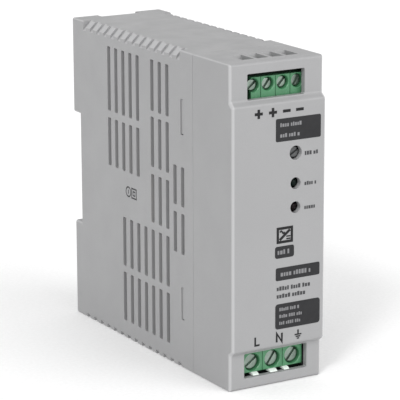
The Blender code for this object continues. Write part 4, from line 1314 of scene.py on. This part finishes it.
def electronics():
    boards()
    fuse()
    disc("varistor", 7.0, 8.5, 5.0, 4.0)
    disc("inrush_thermistor", 20.0, 8.5, 5.0, 4.0)
    disc("y_capacitor", -20.0, 31.0, 3.8, 3.2)
    x_front = COMPONENT_X - 14.5
    rim = put_box(new(), (x_front - 1, x_front + 0.35), (-23.5, -7.5), (17.0, 23.5))
    from_node("x_capacitor", "x_capacitor_box", 0.3, 3, steps=cuts(rim))
    common_mode_choke()
    from_node("transformer_core", "transformer_ferrite", 0.5, 3)
    from_node("transformer_winding", "transformer_tape", 0.9, 4)
    from_node("bridge_rectifier", "bridge_rectifier_body", 0.18, 2)
    can("bulk_capacitor", 30.5, 21.5, 9.0, 20.5)
    can("output_capacitor_1", -18.5, 86.0, 5.0, 20.0)
    can("output_capacitor_2", -6.5, 86.0, 5.0, 20.0)
    for node, screw, sheet, z in (
        ("switching_transistor", "transistor_screw", "primary_heatsink", 49.0),
        ("output_rectifier", "rectifier_screw", "secondary_heatsink", 80.25),
    ):
        from_node(sheet, sheet + "_sheet", 0.2, 3)
        power_tab(node, z, HEATSINK_Y)
        heatsink_screw(screw, z, HEATSINK_Y)
    drum()
    package("control_chip", -20.0, 62.0, 9.6, 8)
    package("optocoupler", -20.0, 72.0, 4.6, 4)


# Studio


def place_aimed(name, data, rotation):
    made = bpy.data.objects.new(name, data)
    made.rotation_mode = "QUATERNION"
    made.rotation_quaternion = rotation
    bpy.context.scene.collection.objects.link(made)
    return made


def studio():
    floor = as_object("floor", put_round(new(), (0, 0, -6.0), "Z", 4000.0, 12.0, 96))
    floor.data.materials.append(surface(
        "floor_paper", FLOOR_COLOUR, 0.85, grain=(900.0, 0.01), mottle=(3.0, 0.01), specular=0.2))
    world = bpy.data.worlds.new("studio")
    world.use_nodes = True
    background = world.node_tree.nodes["Background"]
    set_values(background, {"Color": (1.0, 1.0, 1.0, 1.0), "Strength": WORLD_STRENGTH})
    bpy.context.scene.world = world
    for name, toward, width, share in SUNS:
        light = bpy.data.lights.new(name, "SUN")
        light.angle = math.radians(width)
        light.energy = math.pi * share
        place_aimed(name, light, Vector(toward).to_track_quat("Z", "Y"))
    bpy.context.scene.view_settings.view_transform = "Standard"


def camera():
    data = bpy.data.cameras.new("camera")
    data.lens = CAMERA_LENS
    data.sensor_width = CAMERA_SENSOR
    data.clip_start, data.clip_end = CAMERA_CLIP
    azimuth, elevation = math.radians(CAMERA_AZIMUTH), math.radians(CAMERA_ELEVATION)
    back = Vector((
        -math.sin(azimuth) * math.cos(elevation),
        -math.cos(azimuth) * math.cos(elevation),
        math.sin(elevation),
    ))
    roll = Matrix.Rotation(math.radians(CAMERA_ROLL), 4, "Z").to_quaternion()
    made = place_aimed("camera", data, (-back).to_track_quat("-Z", "Y") @ roll)
    made.location = (TARGET + back * CAMERA_DISTANCE) * MM
    bpy.context.scene.camera = made


rear_housing()
front_cover()
printed_marks()
side_mark_ink()
terminals(OUTPUT)
terminals(INPUT)
shade_strips(OUTPUT)
shade_strips(INPUT)
glint_tabs()
indicator("led_output_on", LED_ZS["led_output_on"], "led_green")
indicator("led_output_low", LED_ZS["led_output_low"], "led_red")
trim_pot()
rail_latch()
latch_spring()
electronics()
studio()
camera()
